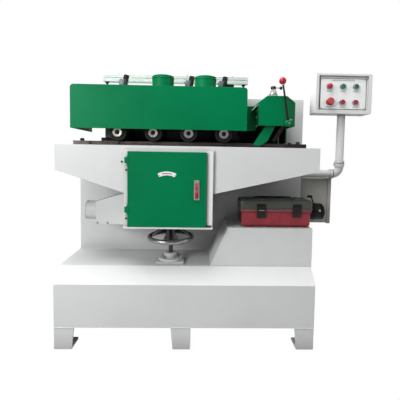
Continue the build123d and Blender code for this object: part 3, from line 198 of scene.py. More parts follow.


# the strong corner darkening of this enamel is mostly painted shade under the table wing and behind the
# handwheel
whiteEnamel = paintedSteel("lightGreyEnamel", "DCDDDD", "D6D7D7", "F6F6F6", 0.45, dirtAndShade=0.6)
greenEnamel = paintedSteel("greenEnamel", "007A4C", "006F43", "2F9A70", 0.42, wearAndSheen=0.4, gloss=0.08)
greyEnamel = paintedSteel("stoneGreyEnamel", "A9A8A2", "A09E98", "C6C5BF", 0.45)
blackEnamel = paintedSteel("blackEnamel", "121314", "0C0D0E", "353535", 0.45, rounding=1.0, gloss=0.15)
motorEnamel = paintedSteel("motorGreyEnamel", "5E6B70", "556166", "8B979B", 0.42)
bedSteel = groundSteel("groundBedSteel", "57524F", "2B2826", 0.42, (0.06, 1, 1))
greasySteel = groundSteel("greasySteel", "6B6966", "3A3937", 0.42, (1, 1, 0.1), grit=200, metallic=0.6)
oiledSteel = groundSteel("oiledSteel", "3B3A38", "201F1E", 0.4, (1, 1, 0.1), grit=200)
wheelSteel = groundSteel("brightenedSteel", "B2B2B0", "747472", 0.27, (1, 1, 1), grit=120, bumpiness=0.03)
bladeSteel = groundSteel("sawBladeSteel", "B4B4B2", "8E8E8C", 0.3, (1, 0.05, 1), grit=90)
shaftSteel = groundSteel("turnedShaftSteel", "A6A5A3", "7B7A78", 0.3, (0.1, 1, 0.1), grit=300)
chromedSteel = groundSteel("chromedSteel", "D8D8D8", "BDBDBD", 0.14, (1, 1, 1), grit=60, bumpiness=0.01)
zincSteel = groundSteel("zincPlatedSteel", "C3C2BC", "9A988F", 0.32, (1, 1, 1), grit=220)
darkIron = groundSteel("blackenedCastIron", "34332F", "1E1D1B", 0.5, (1, 1, 1), grit=320, metallic=0.6,
        bumpiness=0.25)
bronze = groundSteel("greasyBronze", "5E4A2C", "33291B", 0.36, (1, 1, 1), grit=200)
satinAluminium = groundSteel("anodisedAluminium", "CDD4D0", "C3CAC6", 0.5, (0.05, 1, 1), grit=260,
        metallic=0.15)
blackRubber = mouldedPlastic("tyreRubber", "17181B", "0E0F11", 0.68, grit=420, texture=0.25)
beltRubber = mouldedPlastic("beltRubber", "1B1B1B", "121212", 0.75, grit=500, texture=0.3)
blackPlastic = mouldedPlastic("blackPhenolic", "1A1A1B", "111112", 0.36)
redPlastic = mouldedPlastic("redPhenolic", "C2203A", "A8142B", 0.34, texture=0.02, coat=0.08)
redKey = mouldedPlastic("redAcrylic", "AA1736", "861029", 0.34, texture=0.02, coat=0.05)
greenKey = mouldedPlastic("greenAcrylic", "1A7F5C", "126148", 0.26, texture=0.02, coat=0.15)
boxRed = mouldedPlastic("redPolypropylene", "9C383F", "8A2E35", 0.44, grit=300, texture=0.16)
lidGrey = mouldedPlastic("smokedPolypropylene", "4E524B", "43473F", 0.36, grit=300, texture=0.1)
panelWhite = paintedSteel("whitePanelEnamel", "F2F4F4", "EEF0F0", "FAFAFA", 0.35, dirtAndShade=0.3, wearAndSheen=0.2,
        rounding=0.6)
# a brighter copy of the white enamel with little corner darkening: painted light on the strip beside the door
# and round the control panel
litWhiteEnamel = paintedSteel("paintedLightWhiteEnamel", "F0F0EE", "EAEAE8", "FAFAFA", 0.4, dirtAndShade=0.1)
oilGlass = clearGlass()
castAluminium = groundSteel("castAluminium", "7C8889", "5C6869", 0.45, (1, 1, 1), grit=260, metallic=0.5,
        bumpiness=0.12)
# pale pink: a painted highlight along the red flange at the case's split
paintedHighlightPink = mouldedPlastic("paintedHighlightPink", "B98C8E", "9A6A6D", 0.5)
fadedRed = mouldedPlastic("fadedRedPolycarbonate", "B4616B", "9F4A56", 0.4, texture=0.04)
# pale green: a painted highlight on the infeed slope's upper edge
paleGreenHighlight = paintedSteel("paleGreenHighlightEnamel", "B5DDCB", "8FC6AC", "CFE9DD", 0.35, gloss=0.2)
# light green: a painted highlight on the infeed's top edge and round the spigot roots
greenHighlight = paintedSteel("greenHighlightEnamel", "5DB391", "2E8F69", "8CCFB3", 0.35, gloss=0.2)
labelGrey = paintedSteel("labelGreyEnamel", "C6CBC9", "BCC1BF", "E0E2E1", 0.4, rounding=0.4)
stopRed = mouldedPlastic("paleRedAcrylic", "C85259", "B8424C", 0.4, texture=0.02)
print("materials made")

finishes = {
    whiteEnamel: ["base_frame", "feet", "column", "rear_cover", "tool_shelf", "table_frame", "spindle_box",
                  "dust_funnel", "control_box", "support_arm"],
    greenEnamel: ["hood", "access_door", "infeed_housing", "belt_guard"],
    greyEnamel: ["electric_cabinet", "cabinet_door"],
    motorEnamel: ["main_motor"],
    blackEnamel: ["rear_fence", "lever_arm", "feed_drive"],
    bedSteel: ["bed_plates", "slide_rails"],
    oiledSteel: ["kickback_fingers"],
    bladeSteel: ["saw_blades"],
    shaftSteel: ["saw_spindle", "spindle_collars"],
    chromedSteel: ["handwheel"],
    zincSteel: ["button_bezels"],
    darkIron: ["spindle_housing", "spindle_pulley", "motor_pulley", "press_carriage", "overarm", "gib_blocks"],
    beltRubber: ["drive_belts"],
    blackPlastic: ["valve_knob_1", "valve_knob_2", "valve_knob_3", "toolbox_latches", "toolbox_handle"],
    redPlastic: ["lever_ball"],
    redKey: ["pilot_lamp", "stop_button", "push_button_3", "push_button_4"],
    greenKey: ["push_button_1", "push_button_2"],
    boxRed: ["toolbox_base"],
    lidGrey: ["toolbox_lid"],
    bronze: ["lift_nut"],
    satinAluminium: ["air_manifold", "press_cylinders"],
    panelWhite: ["control_panel"],
}
for material, names in finishes.items():
    for name in names:
        for holder in parts[name].material_slots:
            holder.material = material


softEdge = {"segments": 2, "angle": 40}  # the bevel left live on a piece


def keepPiece(name, shape, material, body, node=None, bevel=0.0, smooth=35):
    # closes the mesh, puts it on its body and hides the CAD node it stands for
    bmesh.ops.remove_doubles(shape, verts=shape.verts, dist=0.02 * mm)
    bmesh.ops.recalc_face_normals(shape, faces=shape.faces)
    mesh = bpy.data.meshes.new(name)
    shape.to_mesh(mesh)
    shape.free()
    mesh.materials.append(material)
    mesh.shade_smooth()
    mesh.set_sharp_from_angle(angle=math.radians(smooth))
    piece = bpy.data.objects.new(name, mesh)
    scene.collection.objects.link(piece)
    if bevel:
        edge = piece.modifiers.new("softEdge", "BEVEL")
        edge.width = bevel * mm
        edge.segments = softEdge["segments"]
        edge.limit_method = "ANGLE"
        edge.angle_limit = math.radians(softEdge["angle"])
        edge.harden_normals = True
    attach(piece, body)
    if node:
        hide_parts(node)


def turnedTo(axis):
    return Vector(up).rotation_difference(Vector(axis).normalized()).to_matrix().to_4x4()


def facing(axis, spot):
    # turns +Z to the axis and moves to the spot, both given in mm
    return Matrix.Translation(Vector(spot) * mm) @ turnedTo(axis)


def joinInto(shape, piece, place=None):
    if place is not None:
        bmesh.ops.transform(piece, matrix=place, verts=piece.verts)
    passing = bpy.data.meshes.new("passing")
    piece.to_mesh(passing)
    piece.free()
    shape.from_mesh(passing)
    bpy.data.meshes.remove(passing)


def around(count, radius, first=45.0, step=90.0):
    # places on a circle, from one angle on
    turns = [math.radians(first + step * n) for n in range(count)]
    return [(radius * math.cos(a), radius * math.sin(a)) for a in turns]


def drum(radius, low, high):
    # half section of a plain round bar
    return [(0, low), (radius, low), (radius, high), (0, high)]


def blockBetween(low, high):
    piece = bmesh.new()
    centre = (Vector(low) + Vector(high)) * 0.5 * mm
    size = [max(b - a, 0.001) * mm for a, b in zip(low, high)]
    bmesh.ops.create_cube(piece, size=1, matrix=Matrix.Translation(centre) @ Matrix.Diagonal((*size, 1)))
    return piece


def edgesAlong(piece, way):
    return [e for e in piece.edges if abs((e.verts[0].co - e.verts[1].co).normalized()[way]) > 0.99]


def roundOff(piece, edges, size, steps):
    bmesh.ops.bevel(piece, geom=edges, offset=size * mm, affect="EDGES", segments=steps, profile=0.5,
            material=-1)


def pushOut(piece, faces, vec):
    made = bmesh.ops.extrude_face_region(piece, geom=faces)["geom"]
    bmesh.ops.translate(piece, vec=vec, verts=[v for v in made if isinstance(v, bmesh.types.BMVert)])


def spinOnce(piece, verts, edges, steps):
    bmesh.ops.spin(piece, geom=verts + edges, cent=(0, 0, 0), axis=up, angle=2 * math.pi, steps=steps,
            use_merge=True)


def chainOf(piece, profile):
    # (radius, height) in mm as a line of vertices
    verts = [piece.verts.new((r * mm, 0, h * mm)) for r, h in profile]
    return verts, [piece.edges.new(pair) for pair in zip(verts, verts[1:])]


def addTurned(shape, profile, axis, spot, steps=48):
    # profile is (radius, height) in mm along the axis, spun once round
    piece = bmesh.new()
    spinOnce(piece, *chainOf(piece, profile), steps)
    bmesh.ops.remove_doubles(piece, verts=piece.verts, dist=0.005 * mm)
    joinInto(shape, piece, facing(axis, spot))


def addBlock(shape, low, high, place=None, round=0.0, along="z", steps=4):
    # a box between two corners in mm, the edges along one way rounded
    piece = blockBetween(low, high)
    if round:
        roundOff(piece, edgesAlong(piece, "xyz".index(along)), round, steps)
    joinInto(shape, piece, place)


def addPrism(shape, outline, axis, low, high, place=None, round=0.0):
    # an outline in mm across the axis, pushed from low to high, its corners rounded
    piece = bmesh.new()
    order = {"x": lambda a, b: (low, a, b), "y": lambda a, b: (a, low, b), "z": lambda a,
            b: (a, b, low)}[axis]
    face = piece.faces.new([piece.verts.new(Vector(order(a, b)) * mm) for a, b in outline])
    pushOut(piece, [face], [(high - low) * mm if axis == k else 0 for k in "xyz"])
    if round:
        sharp = [e for e in edgesAlong(piece, "xyz".index(axis)) if e.calc_face_angle() > 0.7]
        roundOff(piece, sharp, round, 4)
    joinInto(shape, piece, place)


def addLouvre(shape, face, level, deep, high, axis, low, end):
    # pressed louvre: a shallow hood over a slot
    outline = [(face, level), (face + deep, level), (face + deep, level + 1.5), (face, level + high)]
    addPrism(shape, outline, axis, low, end)


def addPan(shape, low, high, corner, rim, wall, openTop=True):
    # a moulded shell open at one side, its corners and the closed side's rim rounded
    piece = blockBetween(low, high)
    roundOff(piece, edgesAlong(piece, 2), corner, 5)
    openWay = 1 if openTop else -1
    mouth = [f for f in piece.faces if f.normal.z * openWay > 0.9]
    bmesh.ops.delete(piece, geom=mouth, context="FACES_ONLY")
    floorZ = (low[2] if openTop else high[2]) * mm
    roundOff(piece, [e for e in piece.edges if all(abs(v.co.z - floorZ) < 1e-6 for v in e.verts)], rim, 4)
    bmesh.ops.recalc_face_normals(piece, faces=piece.faces)
    bmesh.ops.solidify(piece, geom=piece.faces, thickness=wall * mm)
    joinInto(shape, piece)


def addBorder(shape, low, high, width, axis, depth, round=2.0):
    # a flat frame of one width: a face with its middle inset and taken out, then pushed to the depth
    piece = blockBetween(low, high)
    way = "xyz".index(axis)
    rest = [f for f in piece.faces if f.normal[way] >= -0.9]
    bmesh.ops.delete(piece, geom=rest, context="FACES")
    bmesh.ops.bevel(piece, geom=list(piece.verts), offset=round * mm, affect="VERTICES", segments=3,
            profile=0.5, material=-1)
    middle = list(piece.faces)
    bmesh.ops.inset_region(piece, faces=middle, thickness=width * mm, use_boundary=True)
    bmesh.ops.delete(piece, geom=middle, context="FACES")
    pushOut(piece, list(piece.faces), [depth * mm if k == way else 0 for k in range(3)])
    joinInto(shape, piece)


def addRod(shape, points, radius, steps=16):
    # a bent rod: a circle carried from point to point, its ends closed
    piece = bmesh.new()
    points = [Vector(p) * mm for p in points]
    rings = []
    for n, spot in enumerate(points):
        way = points[min(n + 1, len(points) - 1)] - points[max(n - 1, 0)]
        ring = bmesh.ops.create_circle(piece, cap_ends=n in (0, len(points) - 1), segments=steps,
                radius=radius * mm, matrix=Matrix.Translation(spot) @ turnedTo(way))
        rings.append(ring["verts"])
    for one, other in zip(rings, rings[1:]):
        sides = [e for ring in (one, other) for e in piece.edges if e.verts[0] in ring and e.verts[1] in ring]
        bmesh.ops.bridge_loops(piece, edges=[e for e in sides if len(e.link_faces) < 2])
    joinInto(shape, piece)


def addHexScrew(shape, axis, spot, across=17, height=10, washer=True):
    # hexagon head with a chamfered top, on a washer
    piece = bmesh.new()
    lift = 2 if washer else 0
    stock = [(6, across / 1.732, height, height / 2 + lift)] + ([(24, across * 0.72, 2, 1)] if washer else [])
    for n, (sides, radius, depth, middle) in enumerate(stock):
        bmesh.ops.create_cone(piece, cap_ends=True, segments=sides, radius1=radius * mm, radius2=radius * mm,
                depth=depth * mm, matrix=Matrix.Translation((0, 0, middle * mm)))
        if n == 0:
            crown = [e for e in piece.edges if min(v.co.z for v in e.verts) > (height * 0.9 + lift) * mm]
            roundOff(piece, crown, 1.2, 1)
    joinInto(shape, piece, facing(axis, spot))


def addSocketScrew(shape, axis, spot, across=12, height=8):
    # round head with a sunk middle
    r, seat = across / 2, height * 0.45
    addTurned(shape, [(0, 0), (r, 0), (r, height - 0.8), (r - 0.8, height), (r * 0.55, height),
            (r * 0.5, seat), (0, seat)], axis, spot, 24)


def addDomeScrew(shape, axis, spot, across=9, height=3):
    # pan head or rivet: a low dome with a small dimple
    r = across / 2
    addTurned(shape, [(0, height * 0.7), (r * 0.22, height * 0.72), (r * 0.26, height),
            (r * 0.7, height * 0.85), (r, height * 0.35), (r, 0), (0, 0)], axis, spot, 20)


def addWeld(shape, start, end, size=4.0):
    # a fillet weld: a bead with overlapping scales
    run = Vector(end) - Vector(start)
    count = max(2, int(run.length / (size * 0.9)))
    step = run.length / count
    profile = [(0, 0)]
    for n in range(count):
        at = run.length * n / count
        profile += [(size * wide, at + step * far) for wide, far in ((0.42, 0.1), (0.56, 0.5), (0.44, 0.9))]
    addTurned(shape, profile + [(0, run.length)], run, start, 10)


def spotsAlong(start, end, count):
    start, end = Vector(start), Vector(end)
    return [start.lerp(end, n / (count - 1)) for n in range(count)]


roller = {"first": -370, "pitch": 186, "height": 1117.5, "front": -555, "rear": -338, "radius": 44.6,
        "grooves": 36, "grooveDepth": 1.6, "ring": 25, "face": 35, "dark": 10.5, "stub": 14.9, "screws": 30}


def makeRollers(first, pitch, height, front, rear, radius, grooves, grooveDepth, ring, face, dark, stub,
        screws):
    for n in range(4):
        spot = (first + n * pitch, 0, height)
        body = f"roller_{n + 1}"
        tyre = bmesh.new()
        addTurned(tyre, [(34, front + 1.5), (38, front + 0.6), (radius - 3, front + 0.6),
                (radius, front + 3.6), (radius, rear - 3.6), (radius - 3, rear - 0.6), (34, rear - 0.6)],
                toRear, spot, grooves * 2)
        # every second strip of the tread is sunk
        strips = [f for f in tyre.faces if f.calc_area() > (rear - front - 20) * mm * 2 * mm]
        strips.sort(key=lambda f: math.atan2(f.calc_center_median().z - spot[2] * mm,
                f.calc_center_median().x - spot[0] * mm))
        bmesh.ops.inset_individual(tyre, faces=strips[::2], thickness=0.5 * mm, depth=-grooveDepth * mm)
        keepPiece(f"rollerTyre{n + 1}", tyre, blackRubber, body, f"press_roller_{n + 1}", smooth=30)
        hub = bmesh.new()
        addTurned(hub, [(dark + 1, front - 8), (dark + 2, front - 9.5), (ring - 2, front - 10),
                (ring, front - 8), (ring, front + 1), (dark + 1, front + 1), (dark + 1, front - 8)], toRear,
                spot)
        addTurned(hub, [(0, rear), (stub, rear), (stub, rear + 44), (13, rear + 45), (0, rear + 45)], toRear,
                spot, 32)
        keepPiece(f"rollerRing{n + 1}", hub, zincSteel, body, bevel=0.4)
        core = bmesh.new()
        addTurned(core, [(dark, front - 4), (dark, front - 6), (6, front - 8.5), (0, front - 8.5)], toRear,
                spot, 32)
        addTurned(core, [(0, front - 1), (face, front - 1), (face, front + 3), (face, rear - 1),
                (stub, rear + 0.5), (0, rear + 0.5)], toRear, spot)
        for a, b in around(4, screws):
            addSocketScrew(core, toFront, (spot[0] + a, front - 1, spot[2] + b), 5.5, 2.5)
        keepPiece(f"rollerCore{n + 1}", core, blackEnamel, body)


makeRollers(**roller)
print("press rollers made")


stand = {"x": -92, "y": -490, "deck": 414, "plate": 150, "boltCircle": 52, "flangeTop": 438}
thread = {"x": -92, "y": -490, "radius": 12, "lead": 6, "top": 655, "bottom": 462}


def makeStand(x, y, deck, plate, boltCircle, flangeTop):
    shape = bmesh.new()
    half = plate / 2
    addBlock(shape, (x - half, y - 65, deck), (x + half, y + 65, deck + 12))
    addTurned(shape, [(12.2, 425), (66, 425), (67, 426), (67, 436), (65, 438), (38, 438), (36, 440),
            (36, 458), (33, 462), (12.2, 462), (12.2, 425)], up, (x, y, 0), 64)
    keepPiece("standBody", shape, whiteEnamel, "frame", "screw_stand", bevel=1.2)
    bolts = bmesh.new()
    for a, b in around(4, boltCircle):
        addHexScrew(bolts, up, (x + a, y + b, flangeTop), 13, 9)
    keepPiece("standBolts", bolts, zincSteel, "frame")


def makeThread(x, y, radius, lead, top, bottom):
    # trapezoidal thread: one section swept up the helix
    shape = bmesh.new()
    turns = int((top - bottom - 6) / lead)
    section = [(radius - 3.0, 0), (radius - 3.0, lead * 0.32), (radius - 0.1, lead * 0.46),
            (radius - 0.1, lead * 0.82), (radius - 3.0, lead)]
    verts, edges = chainOf(shape, section)
    bmesh.ops.spin(shape, geom=verts + edges, cent=(0, 0, 0), axis=up, dvec=(0, 0, lead * mm / 24),
            angle=2 * math.pi * turns, steps=24 * turns)
    bmesh.ops.translate(shape, vec=(x * mm, y * mm, bottom * mm), verts=shape.verts)
    addTurned(shape, [(0, top), (radius - 2.6, top), (radius - 2.2, top - 1), (radius - 2.2, top - 8)], up,
            (x, y, 0), 24)
    addTurned(shape, [(radius - 0.2, bottom - 4), (radius - 0.2, bottom + 2), (radius - 3.2, bottom + 4)], up,
            (x, y, 0), 24)
    keepPiece("liftThread", shape, greasySteel, "frame", smooth=30)


makeStand(**stand)
makeThread(**thread)
print("stand and thread made")


door = {"front": -668, "badge": (-97.5, 823), "outer": 98, "inner": 79, "half": 29, "lock": (36.5, 63.5, 781,
        880), "stripe": (91, 86.5, 17), "hinges": (-287, (974, 728)), "boxFace": -650}


def makeDoorTrim(front, badge, outer, inner, half, lock, stripe, hinges, boxFace):
    plate = bmesh.new()
    x, z = badge

    def archOf(high, low, spread, count):
        # an arched band between two radii
        first, step = 90 + spread, -2 * spread / (count - 1)
        return [(x + a, z + b) for a, b in around(count, high, first, step) + around(count, low, first,
                step)[::-1]]

    addPrism(plate, archOf(outer, inner, half, 17), "y", front - 1.4, front, round=6)
    keepPiece("doorBadge", plate, panelWhite, "front_door", bevel=0.4)
    line = bmesh.new()
    addPrism(line, archOf(*stripe, 11), "y", front - 1.9, front - 1.3, round=1.5)
    keepPiece("badgeStripe", line, fadedRed, "front_door")
    rivets = bmesh.new()
    for a, b in around(2, (outer + inner) / 2, 90 + half * 0.875, -half * 1.75):
        addDomeScrew(rivets, toFront, (x + a, front - 1.4, z + b), 6, 2)
    x0, x1, z0, z1 = lock
    addBlock(rivets, (x0, front - 3, z0), (x1, front, z1), round=4, along="y")
    addBlock(rivets, (x0 + 3, front - 9, z1 - 14), (x1 - 3, front - 3, z1 - 3), round=2, along="y")
    keepPiece("doorLatchPlate", rivets, zincSteel, "front_door", bevel=0.5)
    paddle = bmesh.new()
    addBlock(paddle, (x0 + 4, front - 6, z0 + 5), (x1 - 4, front - 3, z1 - 17), round=3, along="y")
    keepPiece("doorLatchPaddle", paddle, fadedRed, "front_door", bevel=0.8)
    key = bmesh.new()
    addBlock(key, (x0 + 7.5, front - 9.5, z0 + 10), (x1 - 7.5, front - 6, z0 + 38), round=3, along="y")
    addTurned(key, [(0, 6), (5, 6), (5, 9), (4, 9.6), (0, 9.6)], toFront, (x0 + 13.5, front, z0 + 60), 24)
    keepPiece("doorLatchKey", key, redKey, "front_door", bevel=0.8)
    gasket = bmesh.new()
    addBorder(gasket, (-288, boxFace, 648), (92, boxFace, 1013), 6, "y", -5, round=4)
    addBlock(gasket, (99, boxFace - 12, 641.5), (125, boxFace, 647), round=1.5, along="x")
    keepPiece("doorGasket", gasket, blackRubber, "lift_table", bevel=0.6)
    # the strip beside the door is in the brighter white enamel: painted light
    flange = bmesh.new()
    addBlock(flange, (102.5, boxFace - 2, 650), (131, boxFace + 0.5, 1016), round=2, along="y")
    keepPiece("boxFlange", flange, litWhiteEnamel, "lift_table", bevel=0.5)
    screws = bmesh.new()
    for spot in ((-303, boxFace, 925), (-303, boxFace, 681), (-328, boxFace + 15, 966)):
        addSocketScrew(screws, toFront, spot, 9, 4)
    for z in hinges[1]:
        for edge in (-9, 9):
            addSocketScrew(screws, toFront, (hinges[0], front, z + edge), 5, 2)
    keepPiece("boxScrews", screws, blackEnamel, "lift_table")


makeDoorTrim(**door)
print("door trim made")


wheel = {"x": -92, "y": -490, "rimZ": 548, "track": 117, "rim": 12.5, "hub": 26, "hubLow": 568,
        "hubHigh": 622.7, "arms": (275, 35, 155), "rootHalf": 17, "rimHalf": 52, "sheet": 2.4, "bore": 18.1,
        "ribHalf": 7, "crown": 3}


def makeHandwheel(x, y, rimZ, track, rim, hub, hubLow, hubHigh, arms, rootHalf, rimHalf, sheet, bore, ribHalf,
        crown):
    centre = (x, y, 0)
    middle = Matrix.Translation(Vector(centre) * mm)
    tube = bmesh.new()
    outside = [(track + a, rimZ + b) for a, b in around(11, rim, -150, 25)]
    addTurned(tube, outside + [outside[0]], up, centre, 96)
    for angle in arms:
        # pressed spoke: a grid drawn out along the radius, crowned, with its side edges folded down
        spoke = bmesh.new()
        bmesh.ops.create_grid(spoke, x_segments=10, y_segments=8, size=1)
        for v in spoke.verts:
            along, across = (v.co.x + 1) / 2, v.co.y
            reach = hub - 2 + (track - hub) * along
            half = rootHalf + (rimHalf - rootHalf) * along
            fall = hubHigh - 9 - (hubHigh - 9 - rimZ - 5) * (along ** 0.9)
            bend = math.asin(min(0.95, half * across / (track + 8)))
            fold = 5 if abs(across) > 0.9 else 0
            v.co = Vector((reach * math.cos(bend), reach * math.sin(bend) + half * across * (1 - along) * 0.6,
                    fall - fold - crown * across * across)) * mm
        bmesh.ops.recalc_face_normals(spoke, faces=spoke.faces)
        bmesh.ops.solidify(spoke, geom=spoke.faces, thickness=sheet * mm)
        joinInto(tube, spoke, middle @ Matrix.Rotation(math.radians(angle), 4, "Z"))
    keepPiece("wheelRim", tube, wheelSteel, "height_wheel", "handwheel", smooth=50)
    iron = bmesh.new()
    addTurned(iron, [(bore, hubLow), (hub, hubLow), (hub + 1, hubLow + 2), (hub + 1, hubHigh - 6),
            (hub - 3, hubHigh), (bore, hubHigh), (bore, hubLow)], up, centre, 48)
    # the rim's inner side in dark iron: painted shade inside the rim
    shadedInnerHalf = [(track + a, rimZ + b) for a, b in around(7, rim - 0.8, 95, 20)]
    addTurned(iron, shadedInnerHalf + [(track + 2, rimZ), shadedInnerHalf[0]], up, centre, 96)
    # a dark rib down each spoke: painted reflection of the dark hub in the bright spoke
    for angle in arms:
        turn = middle @ Matrix.Rotation(math.radians(angle), 4, "Z")
        rib = [(hub - 3, hubHigh - 34), (hub - 3, hubHigh - 4), (hub + 6, hubHigh - 6),
                (track - 6, rimZ + 11), (track - 4, rimZ - 3)]
        addPrism(iron, rib, "y", -ribHalf, ribHalf, place=turn)
    keepPiece("wheelHub", iron, darkIron, "height_wheel", bevel=1.0)
    pin = bmesh.new()
    a, b = around(1, hub, arms[0] + 60)[0]
    addSocketScrew(pin, (a, b, 0), (x + a, y + b, 590), 8, 3)
    keepPiece("wheelSetScrew", pin, zincSteel, "height_wheel")


makeHandwheel(**wheel)
print("handwheel made")


case = {"left": 291, "right": 671, "front": -552, "rear": -412, "bottom": 620, "split": 715, "top": 768,
        "over": 5, "hinges": (361, 601), "hingeY": -401.5, "latches": ((373.5, 420.6), (568, 612)),
        "latchZ": 745}


def makeCase(left, right, front, rear, bottom, split, top, over, hinges, hingeY, latches, latchZ):
    def band(shape, out, level, width, high, round):
        # a frame that runs round the case
        addBorder(shape, (left - out, front - out, level), (right + out, rear + out, level), width, "z", high,
                round=round)

    base = bmesh.new()
    addPan(base, (left + 3, front + 3, bottom + 4), (right - 3, rear - 3, split), 12, 14, 3)
    # stiffening flange under the split, and shallow feet that give the bottom its wave
    band(base, 2, split - 11, 6, 11, 11)
    for n in range(5):
        x = left + 22 + n * 76
        addBlock(base, (x, front + 12, bottom), (x + 34, rear - 12, bottom + 5), round=2, along="y")
    for x in (left + 160, left + 206):
        addBlock(base, (x, front + 1, bottom + 24), (x + 4, front + 4, split - 16), round=1.5)
    for x in hinges:
        addBlock(base, (x - 15, rear - 4, split - 6), (x + 15, hingeY, split - 0.5))
        addTurned(base, drum(4, -15, 15), toRight, (x, hingeY, split), 20)
        addTurned(base, drum(1.9, -31, 31), toRight, (x, hingeY, split), 12)
    keepPiece("caseBase", base, boxRed, "frame", "toolbox_base", bevel=0.8, smooth=40)
    # a pale bead round the split: painted highlight on the flange's top edge
    line = bmesh.new()
    band(line, 2.6, split - 3.2, 3, 1.6, 11)
    keepPiece("caseSeamBead", line, paintedHighlightPink, "frame", bevel=0.3)
    # a black band under the flange and black strips on both ends: painted shade under the flange and on the
    # shaded ends
    shadeGroove = bmesh.new()
    band(shadeGroove, 0.6, split - 14, 5, 3, 11)
    for x in (left + 1, right - 1):
        addBlock(shadeGroove, (x - 2.4, front + 24, bottom + 22), (x + 2.4, rear - 24, split - 22), round=2,
                along="x")
    keepPiece("caseShadeGroove", shadeGroove, blackPlastic, "frame", bevel=0.4)
    lid = bmesh.new()
    addPan(lid, (left - over, front - over, split + 0.4), (right + over, rear + over, top - 1), 13, 11, 3,
            openTop=False)
    band(lid, 6, split + 0.4, 5, 9, 13)
    addBorder(lid, (left + 24, front + 14, top - 2), (right - 24, rear - 14, top - 2), 3, "z", 2.8, round=9)
    for x in (left + 75, right - 75):
        addPrism(lid, [(-489, top - 3), (-475, top - 3), (-477, top + 12), (-487, top + 12)], "x", x - 5,
                x + 5, round=3)
    for x in hinges:
        for x0 in (x - 31, x + 15.3):
            addBlock(lid, (x0, rear + 1, split + 0.5), (x0 + 15.7, hingeY, split + 5))
            addTurned(lid, [(2, 0), (4, 0), (4, 15.7), (2, 15.7), (2, 0)], toRight, (x0, hingeY, split), 20)
    for x0, x1 in latches:
        for x in (x0 - 4.5, x1 + 0.5):
            addBlock(lid, (x, -564.3, latchZ - 4), (x + 4, front - 4, latchZ + 5), round=1.5, along="x")
    keepPiece("caseLid", lid, lidGrey, "case_lid", "toolbox_lid", bevel=0.8, smooth=40)
    # black end caps on the lid: painted shade for the lid's shaded ends
    shadeEnds = bmesh.new()
    for x in (left - 5.6, right - 4.4):
        addBlock(shadeEnds, (x, front + 8, split + 12), (x + 10, rear - 8, top - 8), round=6, along="x")
    band(shadeEnds, 6.4, split + 9, 4, 1.6, 13)
    keepPiece("caseShadeEnds", shadeEnds, blackPlastic, "case_lid", bevel=0.5)
    latch = bmesh.new()
    for n, (x0, x1) in enumerate(latches):
        low, high = (673, 748.5) if n == 0 else (679, 748.5)
        addPrism(latch, [(-564, high - 6), (-562, high - 1), (-559, high), (-558.4, high - 8),
                (-558.4, split + 8), (-560, split), (-560, low + 10), (-552.4, low + 7), (-552.4, low + 1),
                (-560, low), (-564, low + 5)], "x", x0, x1, round=1.2)
        for rib in range(4):
            z = low + 10 + rib * 5
            addBlock(latch, (x0 + 8, -565, z), (x1 - 8, -563, z + 2), round=0.8, along="x")
        addBlock(latch, (x0 + 4, -564.8, high - 22), (x1 - 4, -563, high - 18), round=0.8, along="x")
    keepPiece("caseLatches", latch, blackPlastic, "case_latches", "toolbox_latches", bevel=0.6)
    mark = bmesh.new()
    addBlock(mark, (latches[0][0] + 8, -564.9, 713), (latches[0][1] - 6, -563.6, 715.6), round=0.6, along="x")
    keepPiece("latchPin", mark, zincSteel, "case_latches")
    bail = bmesh.new()
    x0, x1, y, z = left + 87, right - 87, -482, top + 4
    addRod(bail, [(x0 - 17, y, z), (x0 - 6, y, z), (x0 - 1, y + 3, z), (x0, y + 10, z), (x0, y + 36, z),
            (x0 + 3, y + 46, z), (x0 + 12, y + 50, z), (x1 - 12, y + 50, z), (x1 - 3, y + 46, z),
            (x1, y + 36, z), (x1, y + 10, z), (x1 + 1, y + 3, z), (x1 + 6, y, z), (x1 + 17, y, z)], 3.2)
    addTurned(bail, [(0, -62), (3.6, -62), (4.4, -58)] + [(4.4 - 0.6 * (k % 2), -54 + 6 * k)
            for k in range(19)] + [(4.4, 58), (3.6, 62), (0, 62)], toRight, ((x0 + x1) / 2, y + 50, z), 24)
    keepPiece("caseHandle", bail, blackPlastic, "case_handle", "toolbox_handle", smooth=50)


makeCase(**case)
print("toolbox made")


infeed = {"top": 1319, "cupX": 452, "cupY": -520, "lever": (519, -594, 1176), "leanAngle": 9.7, "length": 219,
        "ball": 18.5}


